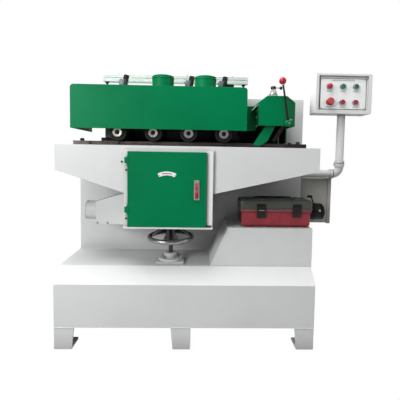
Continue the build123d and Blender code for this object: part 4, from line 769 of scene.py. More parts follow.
def makeInfeedTrim(top, cupX, cupY, lever, leanAngle, length, ball):
    cup = (cupX, cupY, top)
    glass = bmesh.new()
    addTurned(glass, [(0, 3), (24.5, 3), (24.5, 9), (23, 14), (18, 27), (14.5, 38), (14, 44), (0, 44)], up,
            cup, 40)
    keepPiece("oilGlass", glass, oilGlass, "frame", "oil_cup", smooth=60)
    metal = bmesh.new()
    addTurned(metal, [(0, 0), (25, 0), (25.5, 1), (25.5, 3.6), (24, 4.6), (0, 4.6)], up, cup, 40)
    addTurned(metal, [(24.9, 15.8), (22.4, 17.2), (21.2, 20), (20.6, 20), (21.6, 16), (24.9, 15.8)], up, cup,
            40)
    addTurned(metal, [(4, 4), (4, 46), (0, 46)], up, cup, 20)
    addTurned(metal, drum(2.2, 0, 24), toRight, (cup[0] + 13, cup[1], cup[2] + 52), 14)
    keepPiece("oilMetal", metal, zincSteel, "frame", bevel=0.3)
    cap = bmesh.new()
    addTurned(cap, [(0, 43), (14.5, 43), (14.5, 45)] + [(14.5 - 0.6 * (k % 2), 46 + k) for k in range(9)]
            + [(14, 57), (11, 60), (0, 60.5)], up, cup, 36)
    addTurned(cap, [(0, 0), (6, 0), (8.5, 3), (9, 8), (7.5, 13), (4, 15), (0, 15)], toRight,
            (cup[0] + 34, cup[1], cup[2] + 52), 28)
    keepPiece("oilCap", cap, blackPlastic, "frame", smooth=40)
    rivets = bmesh.new()
    for z, across in ((1254, 20), (1217, 13), (1168, 15)):
        addDomeScrew(rivets, toLeft, (371, -492, z), across, 6)
    for z in (1180, 1262):
        addDomeScrew(rivets, toFront, (318, -470, z), 9, 3)
    keepPiece("infeedRivets", rivets, zincSteel, "frame")
    topEdgeHighlight = bmesh.new()
    edge = bmesh.new()
    # a pale green rod along the slope's upper edge: painted highlight
    addRod(edge, [(340.5, -512, 1249), (400, -512, 1309)], 3, 10)
    keepPiece("slopeEdgeHighlight", edge, paleGreenHighlight, "frame", smooth=60)
    # a light green rod along the infeed's top edge: painted highlight
    addRod(topEdgeHighlight, [(411, -570.6, 1319.2), (516, -570.6, 1319.2), (566, -544, 1290)], 1.2, 8)
    keepPiece("infeedEdgeHighlight", topEdgeHighlight, greenHighlight, "frame", smooth=60)
    # black rubber strips behind the infeed: painted shade in the space under the infeed housing
    shadeCurtain = bmesh.new()
    for n in range(9):
        addBlock(shadeCurtain, (305 + n * 26, -310 + n % 2, 1076), (330.4 + n * 26, -306 + n % 2, 1172), round=1,
                along="z")
    addBlock(shadeCurtain, (304, -305, 1150), (540, -301, 1176), round=1, along="x")
    keepPiece("infeedShadeCurtain", shadeCurtain, blackRubber, "frame", bevel=0.5)
    x, y, z = lever
    lean = Vector((-math.sin(math.radians(leanAngle)), 0, math.cos(math.radians(leanAngle))))
    rod = bmesh.new()
    addTurned(rod, [(0, -22), (5.5, -22), (7.5, 12), (7, 22), (5.6, 34), (5, 120), (4.6, length - 12),
            (0, length - 12)], lean, (x, y, z), 28)
    keepPiece("leverRod", rod, blackEnamel, "kickback_lever", "lever_arm", smooth=45)
    hub = bmesh.new()
    addTurned(hub, [(0, -39), (14, -39), (16, -37), (16, -30), (17.5, -28), (17.5, -4), (16, -1), (0, -1)],
            toRear, (x, -570, z), 40)
    keepPiece("leverHub", hub, greenEnamel, "kickback_lever", bevel=0.5)
    bright = bmesh.new()
    addTurned(bright, [(10, 0), (10, 250), (0, 250)], toRear, (x, -571, z), 28)
    addTurned(bright, [(0, 39), (6, 39), (6, 42), (5, 43.5), (0, 43.5)], toFront, (x, -570, z), 6)
    addRod(bright, [(x - 13, y - 9, z + 8), (x - 5, y - 11, z + 13), (x + 6, y - 11, z + 16), (x + 15, y - 10,
            z + 19)], 1.6, 12)
    addTurned(bright, [(6.2, length - 22), (7.4, length - 21), (7.4, length - 17.5), (4.6, length - 17.5)],
            lean, (x, y, z), 24)
    keepPiece("leverFittings", bright, zincSteel, "kickback_lever")
    knob = bmesh.new()
    ring = [(a, length + b) for a, b in around(13, ball, -66, 12)]
    addTurned(knob, [(0, length - ball * 0.93), (ball * 0.32, length - ball * 0.93)] + ring
            + [(0, length + ball)], lean, (x, y, z), 40)
    keepPiece("leverKnob", knob, redPlastic, "kickback_lever", "lever_ball", smooth=60)


makeInfeedTrim(**infeed)
print("infeed trim made")


valve = {"places": (-377, -7, 182), "y": -410, "top": 1353, "leanAngle": 12, "foot": 38, "seat": 71,
        "knobRadius": 15, "knobHigh": 28}


def makeValves(places, y, top, leanAngle, foot, seat, knobRadius, knobHigh):
    lean = Vector((math.sin(math.radians(leanAngle)), 0, math.cos(math.radians(leanAngle))))
    body, dark, nuts = bmesh.new(), bmesh.new(), bmesh.new()
    for n, x in enumerate(places):
        spot = (x, y, top)
        place = facing(lean, spot)
        addBlock(body, (-30, -15, foot), (-2, 15, seat - 2), place, 3)
        addTurned(body, drum(9.5, 4, foot + 2), lean, spot, 28)
        addTurned(body, [(0, 0), (8, 0), (8, 5), (6, 6), (0, 6)], -Vector((math.cos(math.radians(leanAngle)),
                0, -math.sin(math.radians(leanAngle)))), (place @ (Vector((-30, 0, 55)) * mm)) / mm, 20)
        addBlock(dark, (-2, -16, foot - 1), (16, 16, seat), place, 3)
        addTurned(dark, [(11, seat - 3), (13, seat - 3), (13, seat), (0, seat)], lean, spot, 28)
        addHexScrew(nuts, up, (x, y, top), 34, 11, washer=False)
        addTurned(nuts, [(0, 0), (12.9, 0), (12.9, 26), (11, 28), (0, 28)], up, spot, 28)
        for side in (-10, 10):
            addSocketScrew(dark, toFront, (place @ (Vector((7, -16, 54 + side)) * mm)) / mm, 5, 2)
        knob = bmesh.new()
        ridges = [(knobRadius - (1.5 if k % 6 > 3 else 0)) for k in range(72)]
        outline = [(r * math.cos(math.radians(5 * k)), r * math.sin(math.radians(5 * k))) for k,
                r in enumerate(ridges)]
        low = seat + 0.4
        addPrism(knob, outline, "z", low + 2, low + knobHigh - 3, place=place)
        addTurned(knob, drum(12.6, low, low + 3), lean, spot, 36)
        high = low + knobHigh
        addTurned(knob, [(13.4, high - 3.4), (13.4, high - 2), (11.5, high), (9, high), (8.4, high - 0.8),
                (0, high - 0.8)], lean, spot, 36)
        keepPiece(f"valveKnob{n + 1}", knob, blackPlastic, f"knob_{n + 1}", f"valve_knob_{n + 1}", bevel=0.4,
                smooth=40)
    # an elbow fitting beside the third valve
    addTurned(dark, [(0, 0), (11, 0), (11, 8), (8, 10), (8, 40), (0, 40)], up, (229, -417, 1353), 24)
    addBlock(dark, (208, -430, 1391), (250, -404, 1406), round=4, along="y")
    keepPiece("valveBodies", body, castAluminium, "frame", "press_cylinders", bevel=0.7)
    keepPiece("valveCollars", dark, blackPlastic, "frame", bevel=0.6)
    keepPiece("valveNuts", nuts, zincSteel, "frame", bevel=0.4)


makeValves(**valve)
print("valves made")


rail = {"left": -531, "right": 352, "y": -250, "bottom": 1444, "size": 45, "pinPlaces": (-513, 327),
        "foot": 1353, "ports": 6, "portPitch": 140}


def makeRail(left, right, y, bottom, size, pinPlaces, foot, ports, portPitch):
    bar = bmesh.new()
    half, z = size / 2, bottom + size / 2
    # a quarter of the section with its slots, turned four times
    quarter = [(half, -1.6), (half - 2.5, -1.6), (half - 2.5, -5), (half - 5, -5), (half - 5, 5),
            (half - 2.5, 5), (half - 2.5, 1.6), (half, 1.6), (half, 12.6), (half - 0.7, 12.6),
            (half - 0.7, 13.6), (half, 13.6), (half, half - 2), (half - 2, half), (13.6, half),
            (13.6, half - 0.7), (12.6, half - 0.7), (12.6, half)]
    section = []
    for turn in range(4):
        c, t = [(1, 0), (0, 1), (-1, 0), (0, -1)][turn]
        section += [(y + a * c - b * t, z + a * t + b * c) for a, b in quarter]
    addPrism(bar, section, "x", left + 3, right - 3)
    for x0, x1 in ((left, left + 3), (right - 3, right)):
        addBlock(bar, (x0, y - half, z - half), (x1, y + half, z + half), round=2.5, along="x")
    keepPiece("airRail", bar, satinAluminium, "frame", "air_manifold", bevel=0.3)
    pins = bmesh.new()
    for x in pinPlaces:
        addTurned(pins, drum(5, 0, bottom - foot), up, (x, y, foot), 20)
        addHexScrew(pins, up, (x, y, foot), 17, 8)
        addHexScrew(pins, down, (x, y, bottom), 17, 8)
    for n in range(ports):
        addTurned(pins, [(0, 0), (7.5, 0), (7.5, 5), (6, 6), (3, 6), (3, 2), (0, 2)], up,
                (left + 90 + n * portPitch, y, bottom + size), 20)
    keepPiece("railPins", pins, blackEnamel, "frame")


makeRail(**rail)
print("air rail made")


hoodTrim = {"spigots": (-138, 87), "spigotY": -520, "top": 1353, "radius": 57, "height": 57, "left": -597,
        "right": 302, "sideScrews": ((1180, 1310), (-560, -320)), "topScrews": ((-560, -240, -30, 200, 270),
        -300)}


def makeHoodTrim(spigots, spigotY, top, radius, height, left, right, sideScrews, topScrews):
    rings = bmesh.new()
    for x in spigots:
        spot = (x, spigotY, top)
        addTurned(rings, [(radius, height - 9), (radius + 1.6, height - 7.5), (radius + 1.6, height - 5.5),
                (radius, height - 4)], up, spot, 64)
        addTurned(rings, [(radius - 3, height - 0.5), (radius, height - 0.5), (radius + 0.6, height + 3),
                (radius, height + 6), (radius - 1.5, height + 7), (radius - 3, height + 6),
                (radius - 3, height - 0.5)], up, spot, 64)
    keepPiece("spigotBeads", rings, greenEnamel, "frame", smooth=60)
    # the weld rings are in light green: painted highlight where the spigots meet the hood
    weld = bmesh.new()
    for x in spigots:
        addTurned(weld, [(radius - 1, 5), (radius + 0.5, 5.4), (radius + 3.6, 3.6), (radius + 5.4, 0.4),
                (radius - 1, 0)], up, (x, spigotY, top), 64)
    keepPiece("spigotWelds", weld, greenHighlight, "frame", smooth=60)
    screws = bmesh.new()
    for x, way in ((left, -1), (right, 1)):
        for z in sideScrews[0]:
            for y in sideScrews[1]:
                addHexScrew(screws, (way, 0, 0), (x, y, z), 10, 5)
    for x in topScrews[0]:
        addHexScrew(screws, up, (x, topScrews[1], top), 10, 5)
    keepPiece("hoodScrews", screws, zincSteel, "frame")


makeHoodTrim(**hoodTrim)
print("hood trim made")


controls = {"panel": -319, "columns": (837, 920, 1000), "rows": (1431, 1337), "left": 785, "right": 1064,
        "low": 1297, "high": 1478}


def makeControls(panel, columns, rows, left, right, low, high):
    rings, collars, labels, screws = bmesh.new(), bmesh.new(), bmesh.new(), bmesh.new()
    # a thin black rubber border round the panel: painted shade in the gap round the panel
    shadeBorder = bmesh.new()
    addBorder(shadeBorder, (left - 2, panel + 2.2, low - 2), (right + 2, panel + 2.2, high + 2), 3, "y", -2.4,
            round=5)
    keepPiece("panelShadeBorder", shadeBorder, blackRubber, "control_head", bevel=0.3)
    # a white plate on the recess floor in the brighter white enamel: painted light where the recess lies in
    # shade
    floor = bmesh.new()
    addBorder(floor, (left - 12, panel + 2.2, low - 6), (right + 12, panel + 2.2, high + 8), 9, "y", 0.8,
            round=3)
    keepPiece("recessLining", floor, litWhiteEnamel, "control_head")
    for z in rows:
        for x in columns:
            spot = (x, panel, z)
            addTurned(collars, [(10.2, 0), (16.5, 0), (16.5, 1.6), (15.3, 2.2), (15.3, 8), (10.2, 8),
                    (10.2, 0)], toFront, spot, 40)
            addTurned(rings, [(10.2, 8), (15.6, 8), (16.2, 8.8), (15.8, 10.8), (14.2, 11.4), (10.2, 10.2),
                    (10.2, 8)], toFront, spot, 40)
            addBlock(labels, (x - 17, panel - 0.8, z - 31), (x + 17, panel, z - 24), round=1.5, along="y")
    addBlock(labels, (left + 70, panel - 0.8, high - 13), (right - 70, panel, high - 5), round=1.5, along="y")
    for x in (left + 8, right - 8):
        for z in (low + 8, high - 8):
            addDomeScrew(screws, toFront, (x, panel, z), 6, 2)
    keepPiece("bezelCollars", collars, blackPlastic, "control_head", bevel=0.3)
    keepPiece("bezelRings", rings, chromedSteel, "control_head", "button_bezels", bevel=0.2)
    keepPiece("panelLabels", labels, labelGrey, "control_head", bevel=0.2)
    keepPiece("panelScrews", screws, zincSteel, "control_head")
    caps = [(columns[1], rows[0], greenKey), (columns[2], rows[0], greenKey), (columns[1], rows[1], redKey),
            (columns[2], rows[1], redKey)]
    for n, (x, z, finish) in enumerate(caps):
        cap = bmesh.new()
        addTurned(cap, [(0, -12), (9.9, -12), (9.9, 15.1), (13, 15.3), (13.4, 15.7), (12.8, 16.6), (10, 16.9),
                (9.2, 16.1), (0, 15.8)], toFront, (x, panel, z), 40)
        keepPiece(f"buttonCap{n + 1}", cap, finish, f"button_{n + 1}", f"push_button_{n + 1}", smooth=50)
    x, z = columns[0], rows[1]
    head = bmesh.new()
    addTurned(head, [(0, -12), (9.9, -12), (9.9, 17), (14, 17), (20.6, 22), (22.6, 26), (22.6, 34),
            (21, 37.2), (17.2, 38.6)], toFront, (x, panel, z), 48)
    keepPiece("stopHead", head, redKey, "stop_head", "stop_button", smooth=50)
    face = bmesh.new()
    addTurned(face, [(17.6, 38.1), (16.8, 39.4), (15, 39.7), (14.4, 38.9), (13.4, 38.9), (12.8, 39.8),
            (9.4, 40), (8.8, 39.2), (7.8, 39.2), (7.2, 40), (0, 40.1)], toFront, (x, panel, z), 48)
    keepPiece("stopFace", face, stopRed, "stop_head", smooth=50)
    lens = bmesh.new()
    addTurned(lens, [(0, -8), (9.9, -8), (9.9, 11), (15, 11.2), (15.2, 18), (14, 23), (11.2, 26.4), (7, 28.6),
            (0, 29.4)], toFront, (x, panel, rows[0]), 40)
    keepPiece("lampLens", lens, redKey, "control_head", "pilot_lamp", smooth=60)


makeControls(**controls)
print("controls made")


bed = {"top": 1072, "boltX": (-574, 600), "boltY": (-500, -345), "left": -612, "front": -530,
        "fence": (-527, 330), "fenceY": -324.5, "fenceHigh": 28, "frontPitch": 153, "doorSpan": (-330, 150)}


def makeBedTrim(top, boltX, boltY, left, front, fence, fenceY, fenceHigh, frontPitch, doorSpan):
    bolts = bmesh.new()
    for x in boltX:
        for y in boltY[:1 if x < 0 else 2]:
            addHexScrew(bolts, up, (x, y, top), 19, 12)
    keepPiece("bedBolts", bolts, oiledSteel, "lift_table", bevel=0.4)
    screws = bmesh.new()
    for n in range(7):
        x = fence[0] + 40 + n * (fence[1] - fence[0] - 80) / 6
        addSocketScrew(screws, up, (x, fenceY, top + fenceHigh), 9, 3)
    for n in range(8):
        x = left + 90 + n * frontPitch
        if not doorSpan[0] < x < doorSpan[1]:
            addSocketScrew(screws, toFront, (x, front, top - 12), 10, 4)
    keepPiece("bedScrews", screws, blackEnamel, "lift_table")


makeBedTrim(**bed)
print("bed trim made")


post = {"x": 944, "y": -260, "pipeZ": 900, "pipe": 24, "elbow": 46, "collar": 30, "socketTop": 968,
        "column": 696, "flangeScrews": 28}


def makePostTrim(x, y, pipeZ, pipe, elbow, collar, socketTop, column, flangeScrews):
    rings = bmesh.new()
    addTurned(rings, [(pipe + 2, -1), (collar + 1, -1), (collar + 1.4, 0.2), (collar + 1, 1.6),
            (pipe + 2, 1.6)], up, (x, y, socketTop), 48)
    run = x - elbow
    addTurned(rings, [(pipe + 2, -1.5), (collar + 0.8, -1.5), (collar + 0.8, 1.5), (pipe + 2, 1.5)], toRight,
            (run, y, pipeZ), 48)
    addTurned(rings, [(pipe, 10), (pipe + 3, 10), (pipe + 2.4, 13), (pipe, 13.6)], toRight,
            (column, y, pipeZ), 48)
    keepPiece("postSeals", rings, blackRubber, "frame", smooth=50)
    screws = bmesh.new()
    for a, b in around(4, flangeScrews):
        addHexScrew(screws, toRight, (column + 10, y + a, pipeZ + b), 7, 4)
    addHexScrew(screws, toLeft, (x - collar, y, socketTop - 10), 8, 6)
    keepPiece("postScrews", screws, zincSteel, "frame")
    clamp = bmesh.new()
    addHexScrew(clamp, (0.3, -0.95, 0), (x + 9, y - 28.6, socketTop + 8.6), 8, 6, washer=False)
    keepPiece("postClamp", clamp, zincSteel, "control_head")


makePostTrim(**post)
print("post trim made")


funnel = {"pipe": 50.5, "pipeY": -470, "pipeZ": 691, "end": -560, "root": -495, "left": -323, "width": 200,
        "low": 633, "high": 805}


def makeFunnelTrim(pipe, pipeY, pipeZ, end, root, left, width, low, high):
    bead = bmesh.new()
    addTurned(bead, [(pipe, 4), (pipe + 1.6, 5.5), (pipe + 1.6, 8), (pipe, 9.5)], toRight,
            (end, pipeY, pipeZ), 56)
    addTurned(bead, [(pipe, -5), (pipe + 1, -4.5), (pipe + 4, -1), (pipe + 4, 0), (pipe, 0)], toRight,
            (root, pipeY, pipeZ), 56)
    keepPiece("funnelBeads", bead, whiteEnamel, "lift_table", smooth=60)
    screws = bmesh.new()
    for z in (low + 8, (low + high) / 2, high - 8):
        for y in (pipeY - width / 2 - 6, pipeY + width / 2 + 6):
            addHexScrew(screws, toLeft, (left, y, z), 8, 5)
    for x, z in ((-487, 631), (-428, 635)):
        y = pipeY - 53.5 - 46.5 * (x - root) / 172
        addHexScrew(screws, (-0.26, -0.96, 0), (x, y - 3, z), 8, 5)
    keepPiece("funnelScrews", screws, zincSteel, "lift_table")


makeFunnelTrim(**funnel)
print("funnel trim made")


feed = {"y": -350, "z": 674, "right": 812, "screwCircle": 30, "cowl": 62}


def makeFeedTrim(y, z, right, screwCircle, cowl):
    dark = bmesh.new()
    addTurned(dark, [(40, 0), (52, 0), (52, 4), (51, 6), (51, 30), (49, 33), (40, 33), (40, 0)], toRight,
            (right - cowl, y, z), 56)
    addRod(dark, [(749, -362, 722), (748, -362, 733), (742, -362, 750), (737, -362, 764), (734, -362, 768)],
            4, 14)
    addTurned(dark, [(0, -14), (6, -14), (7.5, -11), (7.5, 11), (6, 14), (0, 14)], toRight, (727, -362, 767),
            20)
    addTurned(dark, [(0, 0), (9, 0), (9, 6), (7, 9), (0, 9)], up, (749, -362, 720), 24)
    addBlock(dark, (630, -375, 716), (705, -325, 742), round=4, along="z")
    keepPiece("feedEndCover", dark, blackEnamel, "frame", bevel=0.8)
    bright = bmesh.new()
    addDomeScrew(bright, (0, -1, 0.2), (776.5, y - 49, 688), 13, 4)
    for a, b in around(4, screwCircle):
        addHexScrew(bright, toRight, (right, y + a, z + b), 8, 5)
    keepPiece("feedScrews", bright, zincSteel, "frame")


makeFeedTrim(**feed)
print("feed motor trim made")


feet = {"half": 669, "front": -650, "rear": 650, "middle": 26}
foot = {"height": 114, "topWidth": 101, "footWidth": 90, "depth": 90, "floor": 12, "wall": 8, "hole": 46,
        "bore": 9}


def addFoot(shape, outer, side, face, inward, height, topWidth, footWidth, depth, floor, wall, hole, bore):
    narrow = side * footWidth
    outline = [(outer, 0), (outer + narrow, 0), (outer + side * topWidth, height), (outer, height)]
    low, high = sorted((face, face + inward * wall))
    addPrism(shape, outline, "y", low, high)
    low, high = sorted((face + inward * (wall - 1), face + inward * depth))
    x0, x1 = sorted((outer, outer + side * wall))
    web = [(face + inward * (wall - 1), 0), (face + inward * depth, 0), (face + inward * depth, 34),
            (face + inward * (depth - 18), height), (face + inward * (wall - 1), height)]
    addPrism(shape, web, "x", x0, x1)
    # floor plate with its round anchor hole: the hole's ring bridged to the plate's outline
    plate = bmesh.new()
    x0, x1 = sorted((outer + side * (wall - 1), outer + narrow))
    centre = (outer + side * hole, face + inward * hole)
    spots = [(x0, low), (x1, low), (x1, high), (x0, high)]
    verts = [plate.verts.new(Vector((x, y, 0)) * mm) for x, y in spots]
    edges = [plate.edges.new((verts[n], verts[(n + 1) % 4])) for n in range(4)]
    bmesh.ops.subdivide_edges(plate, edges=edges, cuts=5)
    bmesh.ops.create_circle(plate, cap_ends=False, segments=24, radius=bore * mm,
            matrix=Matrix.Translation(Vector((*centre, 0)) * mm) @ Matrix.Rotation(math.radians(45), 4, "Z"))
    bmesh.ops.bridge_loops(plate, edges=list(plate.edges))
    made = bmesh.ops.extrude_face_region(plate, geom=list(plate.faces))["geom"]
    bmesh.ops.translate(plate, vec=(0, 0, floor * mm), verts=[v for v in made if isinstance(v,
            bmesh.types.BMVert)])
    joinInto(shape, plate)


def makeFeet(half, front, rear, middle):
    shape = bmesh.new()
    bead = bmesh.new()
    for face, inward in ((front, 1), (rear, -1)):
        for outer, side in ((-half, 1), (middle, -1), (half, -1)):
            addFoot(shape, outer, side, face, inward, **foot)
            inner = outer + side * foot["topWidth"]
            addWeld(bead, (outer, face, foot["height"]), (inner, face, foot["height"]), 4)
            addWeld(bead, (inner - side * 12, face + inward * 9, 13), (outer + side * 10, face + inward * 9,
                    13), 5)
    keepPiece("weldedFeet", shape, whiteEnamel, "frame", "feet", bevel=0.8)
    keepPiece("footWelds", bead, whiteEnamel, "frame", smooth=60)


makeFeet(**feet)
print("feet made")


rear = {"cover": 119, "front": -285, "deck": 414, "left": -667, "right": 696, "shoulder": 1040,
        "upperLeft": -515, "top": 1353, "inset": 20, "pitch": 200, "louvres": ((-470, 340), 1105, 24),
        "eyes": ((-420, 320), -60)}


def makeRearTrim(cover, front, deck, left, right, shoulder, upperLeft, top, inset, pitch, louvres, eyes):
    corners = [(left + inset, deck + inset), (right - inset, deck + inset), (right - inset, top - inset),
            (upperLeft + inset, top - inset), (upperLeft + inset, shoulder - inset),
            (left + inset, shoulder - inset)]
    screws = bmesh.new()
    for one, other in zip(corners, corners[1:] + corners[:1]):
        run = (Vector(other) - Vector(one)).length
        for spot in spotsAlong((one[0], cover, one[1]), (other[0], cover, other[1]), int(run / pitch)
                + 2)[:-1]:
            addHexScrew(screws, toRear, spot, 10, 5)
    keepPiece("coverScrews", screws, zincSteel, "frame")
    vents = bmesh.new()
    places, lowest, step = louvres
    for x in places:
        for n in range(8):
            addLouvre(vents, cover, lowest + n * step, 7, 14, "x", x, x + 130)
    keepPiece("coverLouvres", vents, whiteEnamel, "frame", bevel=1.2)
    plate = bmesh.new()
    addBlock(plate, (left - 2, -190, 520), (left, 20, 860), round=14, along="x")
    addBlock(plate, (right, -30, 940), (right + 2, 60, 1240), round=14, along="x")
    keepPiece("sideCovers", plate, whiteEnamel, "frame", bevel=0.7)
    fixing = bmesh.new()
    for z in (538, 690, 842):
        for y in (-172, 2):
            addDomeScrew(fixing, toLeft, (left - 2, y, z), 10, 4)
    for z in (958, 1222):
        for y in (-14, 44):
            addDomeScrew(fixing, toRight, (right + 2, y, z), 10, 4)
    keepPiece("sideCoverScrews", fixing, zincSteel, "frame")
    bead = bmesh.new()
    addWeld(bead, (left, front, deck), (right, front, deck), 7)
    addWeld(bead, (left, front, deck), (left, cover - 4, deck), 7)
    addWeld(bead, (right, front, deck), (right, cover - 4, deck), 7)
    keepPiece("columnWelds", bead, whiteEnamel, "frame", smooth=60)
    iron = bmesh.new()
    for x in eyes[0]:
        addTurned(iron, [(0, 0), (22, 0), (22, 3), (14, 8), (9, 14), (0, 14)], up, (x, eyes[1], top), 32)
        ring = [(20 + a, b) for a, b in around(13, 6, 0, 30)]
        addTurned(iron, ring, toRear, (x, eyes[1], top + 36), 40)
    keepPiece("liftingEyes", iron, zincSteel, "frame", smooth=50)


makeRearTrim(**rear)
print("rear trim made")


motor = {"radius": 138, "cowl": 84, "axisUp": 160, "deck": 414, "reach": 124, "padHeight": 14, "feetOut": 145,
        "boltOut": 155, "eyeAlong": 165, "eyeUp": 137}


def makeMotorTrim(radius, cowl, axisUp, deck, reach, padHeight, feetOut, boltOut, eyeAlong, eyeUp):
    low, high = [Vector(c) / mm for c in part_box("main_motor")]
    guardLow, guardHigh = [Vector(c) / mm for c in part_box("belt_guard")]
    x, z, end = (guardLow.x + guardHigh.x) / 2, deck + axisUp, high.y
    start = low.y
    grille, mesh = bmesh.new(), bmesh.new()
    addTurned(mesh, drum(96, 0, 0.8), toRear, (x, end, z), 64)
    keepPiece("fanInlet", mesh, blackPlastic, "frame")
    for ring in range(6):
        r = 18 + ring * 15
        addTurned(grille, [(r, 0), (r + 4, 0), (r + 3.4, 3.4), (r + 0.6, 3.4), (r, 0)], toRear, (x, end, z),
                56)
    for (a, b), (c, d) in zip(around(6, 8, 30, 60), around(6, 97, 30, 60)):
        addRod(grille, [(x + a, end + 2, z + b), (x + c, end + 2, z + d)], 2.2, 8)
    addTurned(grille, [(0, 0), (11, 0), (11, 3), (9, 4.6), (0, 4.6)], toRear, (x, end, z), 32)
    for fore in (start + 44, end - 192):
        for side in (-1, 1):
            addBlock(grille, (x + side * feetOut - 27, fore - 2, deck), (x + side * feetOut + 27, fore + 68,
                    deck + padHeight), round=5)
    addTurned(grille, [(0, -4), (17, -4), (17, 2), (11, 7), (0, 7)], up, (x, start + eyeAlong, z + eyeUp), 32)
    eye = [(18 + a, b) for a, b in around(13, 5, 0, 30)]
    addTurned(grille, eye, toRear, (x, start + eyeAlong, z + eyeUp + 27), 36)
    boxLow, boxHigh = (x + 60, start + 60, z + 70), (x + 170, start + 200, z + 150)
    addBlock(grille, (boxLow[0] - 3, boxLow[1] - 3, boxHigh[2] - 1), (boxHigh[0] + 3, boxHigh[1] + 3,
            boxHigh[2] + 7), round=6)
    keepPiece("motorTrim", grille, motorEnamel, "frame", bevel=0.4, smooth=40)
    bolts = bmesh.new()
    for fore in (start + 44, end - 192):
        for side in (-1, 1):
            addHexScrew(bolts, up, (x + side * boltOut, fore + 33, deck + padHeight), 19, 12)
    for a, b in around(4, radius):
        addHexScrew(bolts, (a, 0, b), (x + a, end - cowl + 12, z + b), 9, 5)
    for bx in (boxLow[0] + 8, boxHigh[0] - 8):
        for by in (boxLow[1] + 8, boxHigh[1] - 8):
            addDomeScrew(bolts, up, (bx, by, boxHigh[2] + 7), 8, 3)
    for a, b in around(9, reach - 12, 0, 22.5):
        addHexScrew(bolts, toRear, (x + a, guardHigh.y, guardHigh.z - reach + b), 9, 4)
    for side in (-1, 1):
        for level in (90, 210):
            if guardLow.z + reach + level < guardHigh.z - reach - 20:
                addHexScrew(bolts, toRear, (x + side * (reach - 12), guardHigh.y, guardLow.z + reach + level),
                        9, 4)
    addBlock(bolts, (x - 139.5, start + 345, z - 22), (x - 137, start + 395, z + 22), round=3, along="x")
    keepPiece("motorBolts", bolts, zincSteel, "frame")
    glands = bmesh.new()
    entries = [(toRight, (x + 170, start + along, z + 108)) for along in (100, 150)]
    entries += [(down, (750 + n * 42, 20, 586)) for n in range(3)]
    for axis, spot in entries:
        addHexScrew(glands, axis, spot, 24, 8)
        addTurned(glands, [(0, 9), (11, 9), (11, 18), (8, 22), (0, 22)], axis, spot, 24)
    keepPiece("cableGlands", glands, blackPlastic, "frame")
    vents = bmesh.new()
    for n in range(5):
        addLouvre(vents, guardHigh.y, guardHigh.z - reach - 50 + n * 22, 6, 12, "x", x - 55, x + 55)
    keepPiece("guardLouvres", vents, greenEnamel, "frame", bevel=1.0)


makeMotorTrim(**motor)
print("motor trim made")


cabinet = {"face": 901, "front": -250, "bottom": 586, "top": 866, "backScrews": ((765, 925, 1085),
        (1278, 1350, 1424, 1496), -228)}


def makeCabinetTrim(face, front, bottom, top, backScrews):
    vents = bmesh.new()
    for low in (bottom + 34, top - 96):
        for n in range(4):
            addLouvre(vents, face, low + n * 18, 5, 10, "y", front + 110, front + 230)
    keepPiece("cabinetLouvres", vents, greyEnamel, "cabinet_leaf", bevel=0.8)
    bright = bmesh.new()
    lock = (face + 5, front + 40, (bottom + top) / 2)
    addTurned(bright, [(0, 0), (10, 0), (10, 2), (8.5, 3.2), (0, 3.2)], toRight, lock, 32)
    addBlock(bright, (face + 8, front + 38.4, lock[2] - 6), (face + 9.4, front + 41.6, lock[2] + 6), round=1,
            along="x")
    keepPiece("cabinetLock", bright, zincSteel, "cabinet_leaf")
    screws = bmesh.new()
    across, levels, y = backScrews
    for x in across:
        for z in levels:
            if x != across[1] or z in (levels[0], levels[-1]):
                addDomeScrew(screws, toRear, (x, y, z), 9, 3)
    keepPiece("controlBackScrews", screws, zincSteel, "control_head")


makeCabinetTrim(**cabinet)
print("cabinet trim made")


studio = {"floor": "868686", "world": 0.15, "shadow": 0.16, "size": 60}


def raysOf(tree, *kinds):
    # one where any of the ray kinds looks
    path = addNode(tree, "LightPath")
    found = path.outputs[kinds[0]]
    for kind in kinds[1:]:
        found = addNode(tree, "Math", {0: found, 1: path.outputs[kind]}, operation="MAXIMUM").outputs[0]
    return found


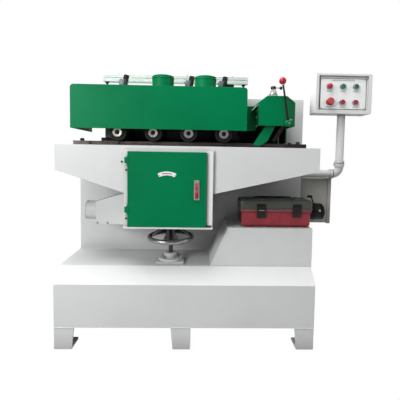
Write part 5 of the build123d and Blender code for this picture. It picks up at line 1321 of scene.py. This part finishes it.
def makeStudio():
    bpy.ops.mesh.primitive_plane_add(size=studio["size"], location=(0, 0, 0))
    floor = bpy.context.object
    floor.name = "studioFloor"
    material, tree, shader = startMaterial("paleFloor", Roughness=0.9,
            Base_Color=toLinear(studio["floor"]))[:3]
    glow = addNode(tree, "Emission", inputs={"Strength": 1.0})
    # the floor's glow seen by the camera darkens with ambient occlusion: a painted shadow round the machine
    corner = addNode(tree, "AmbientOcclusion", samples=8, inputs={"Distance": studio["shadow"]})
    glowWithPaintedShadow = rampOf(tree, corner.outputs["AO"], [(0.0, "B9B9B9"), (0.55, "FFFFFF")])
    tree.links.new(glowWithPaintedShadow, glow.inputs["Color"])
    seen = raysOf(tree, "Is Camera Ray", "Is Glossy Ray", "Is Transmission Ray")
    mix = addNode(tree, "MixShader", {0: seen, 1: shader.outputs[0], 2: glow.outputs[0]})
    tree.links.new(mix.outputs[0], tree.nodes["Material Output"].inputs["Surface"])
    floor.data.materials.append(material)
    world = bpy.data.worlds.new("studioWorld")
    world.use_nodes = True
    scene.world = world
    tree = world.node_tree
    out = tree.nodes["World Output"]
    for node in [n for n in tree.nodes if n != out]:
        tree.nodes.remove(node)
    dim = addNode(tree, "Background", inputs={"Color": (1, 1, 1, 1), "Strength": studio["world"]})
    white = addNode(tree, "Background", inputs={"Color": (1, 1, 1, 1), "Strength": 1.0})
    seen = raysOf(tree, "Is Camera Ray", "Is Transmission Ray")
    mix = addNode(tree, "MixShader", {0: seen, 1: dim.outputs[0], 2: white.outputs[0]})
    tree.links.new(mix.outputs[0], out.inputs["Surface"])


lamps = {
    "overhead": {"place": (-500, -900, 3500), "aim": (0, -200, 700), "size": 2200, "power": 128},
    "front": {"place": (-2500, -3500, 2000), "aim": (0, -400, 700), "size": 1300, "power": 98},
    "right": {"place": (3300, -1400, 2300), "aim": (300, -200, 800), "size": 1800, "power": 27},
    "rear": {"place": (0, 3800, 2600), "aim": (0, 0, 700), "size": 2400, "power": 62},
}


def makeLamps(table):
    for name, lamp in table.items():
        data = bpy.data.lights.new(name + "Lamp", "AREA")
        data.shape = "SQUARE"
        data.size = lamp["size"] * mm
        data.energy = lamp["power"]
        piece = bpy.data.objects.new(name + "Lamp", data)
        piece.location = Vector(lamp["place"]) * mm
        piece.rotation_euler = (Vector(lamp["aim"]) - Vector(lamp["place"])).to_track_quat("-Z",
                "Y").to_euler()
        scene.collection.objects.link(piece)


makeStudio()
makeLamps(lamps)
scene.view_settings.view_transform = "Standard"
print("studio lit")
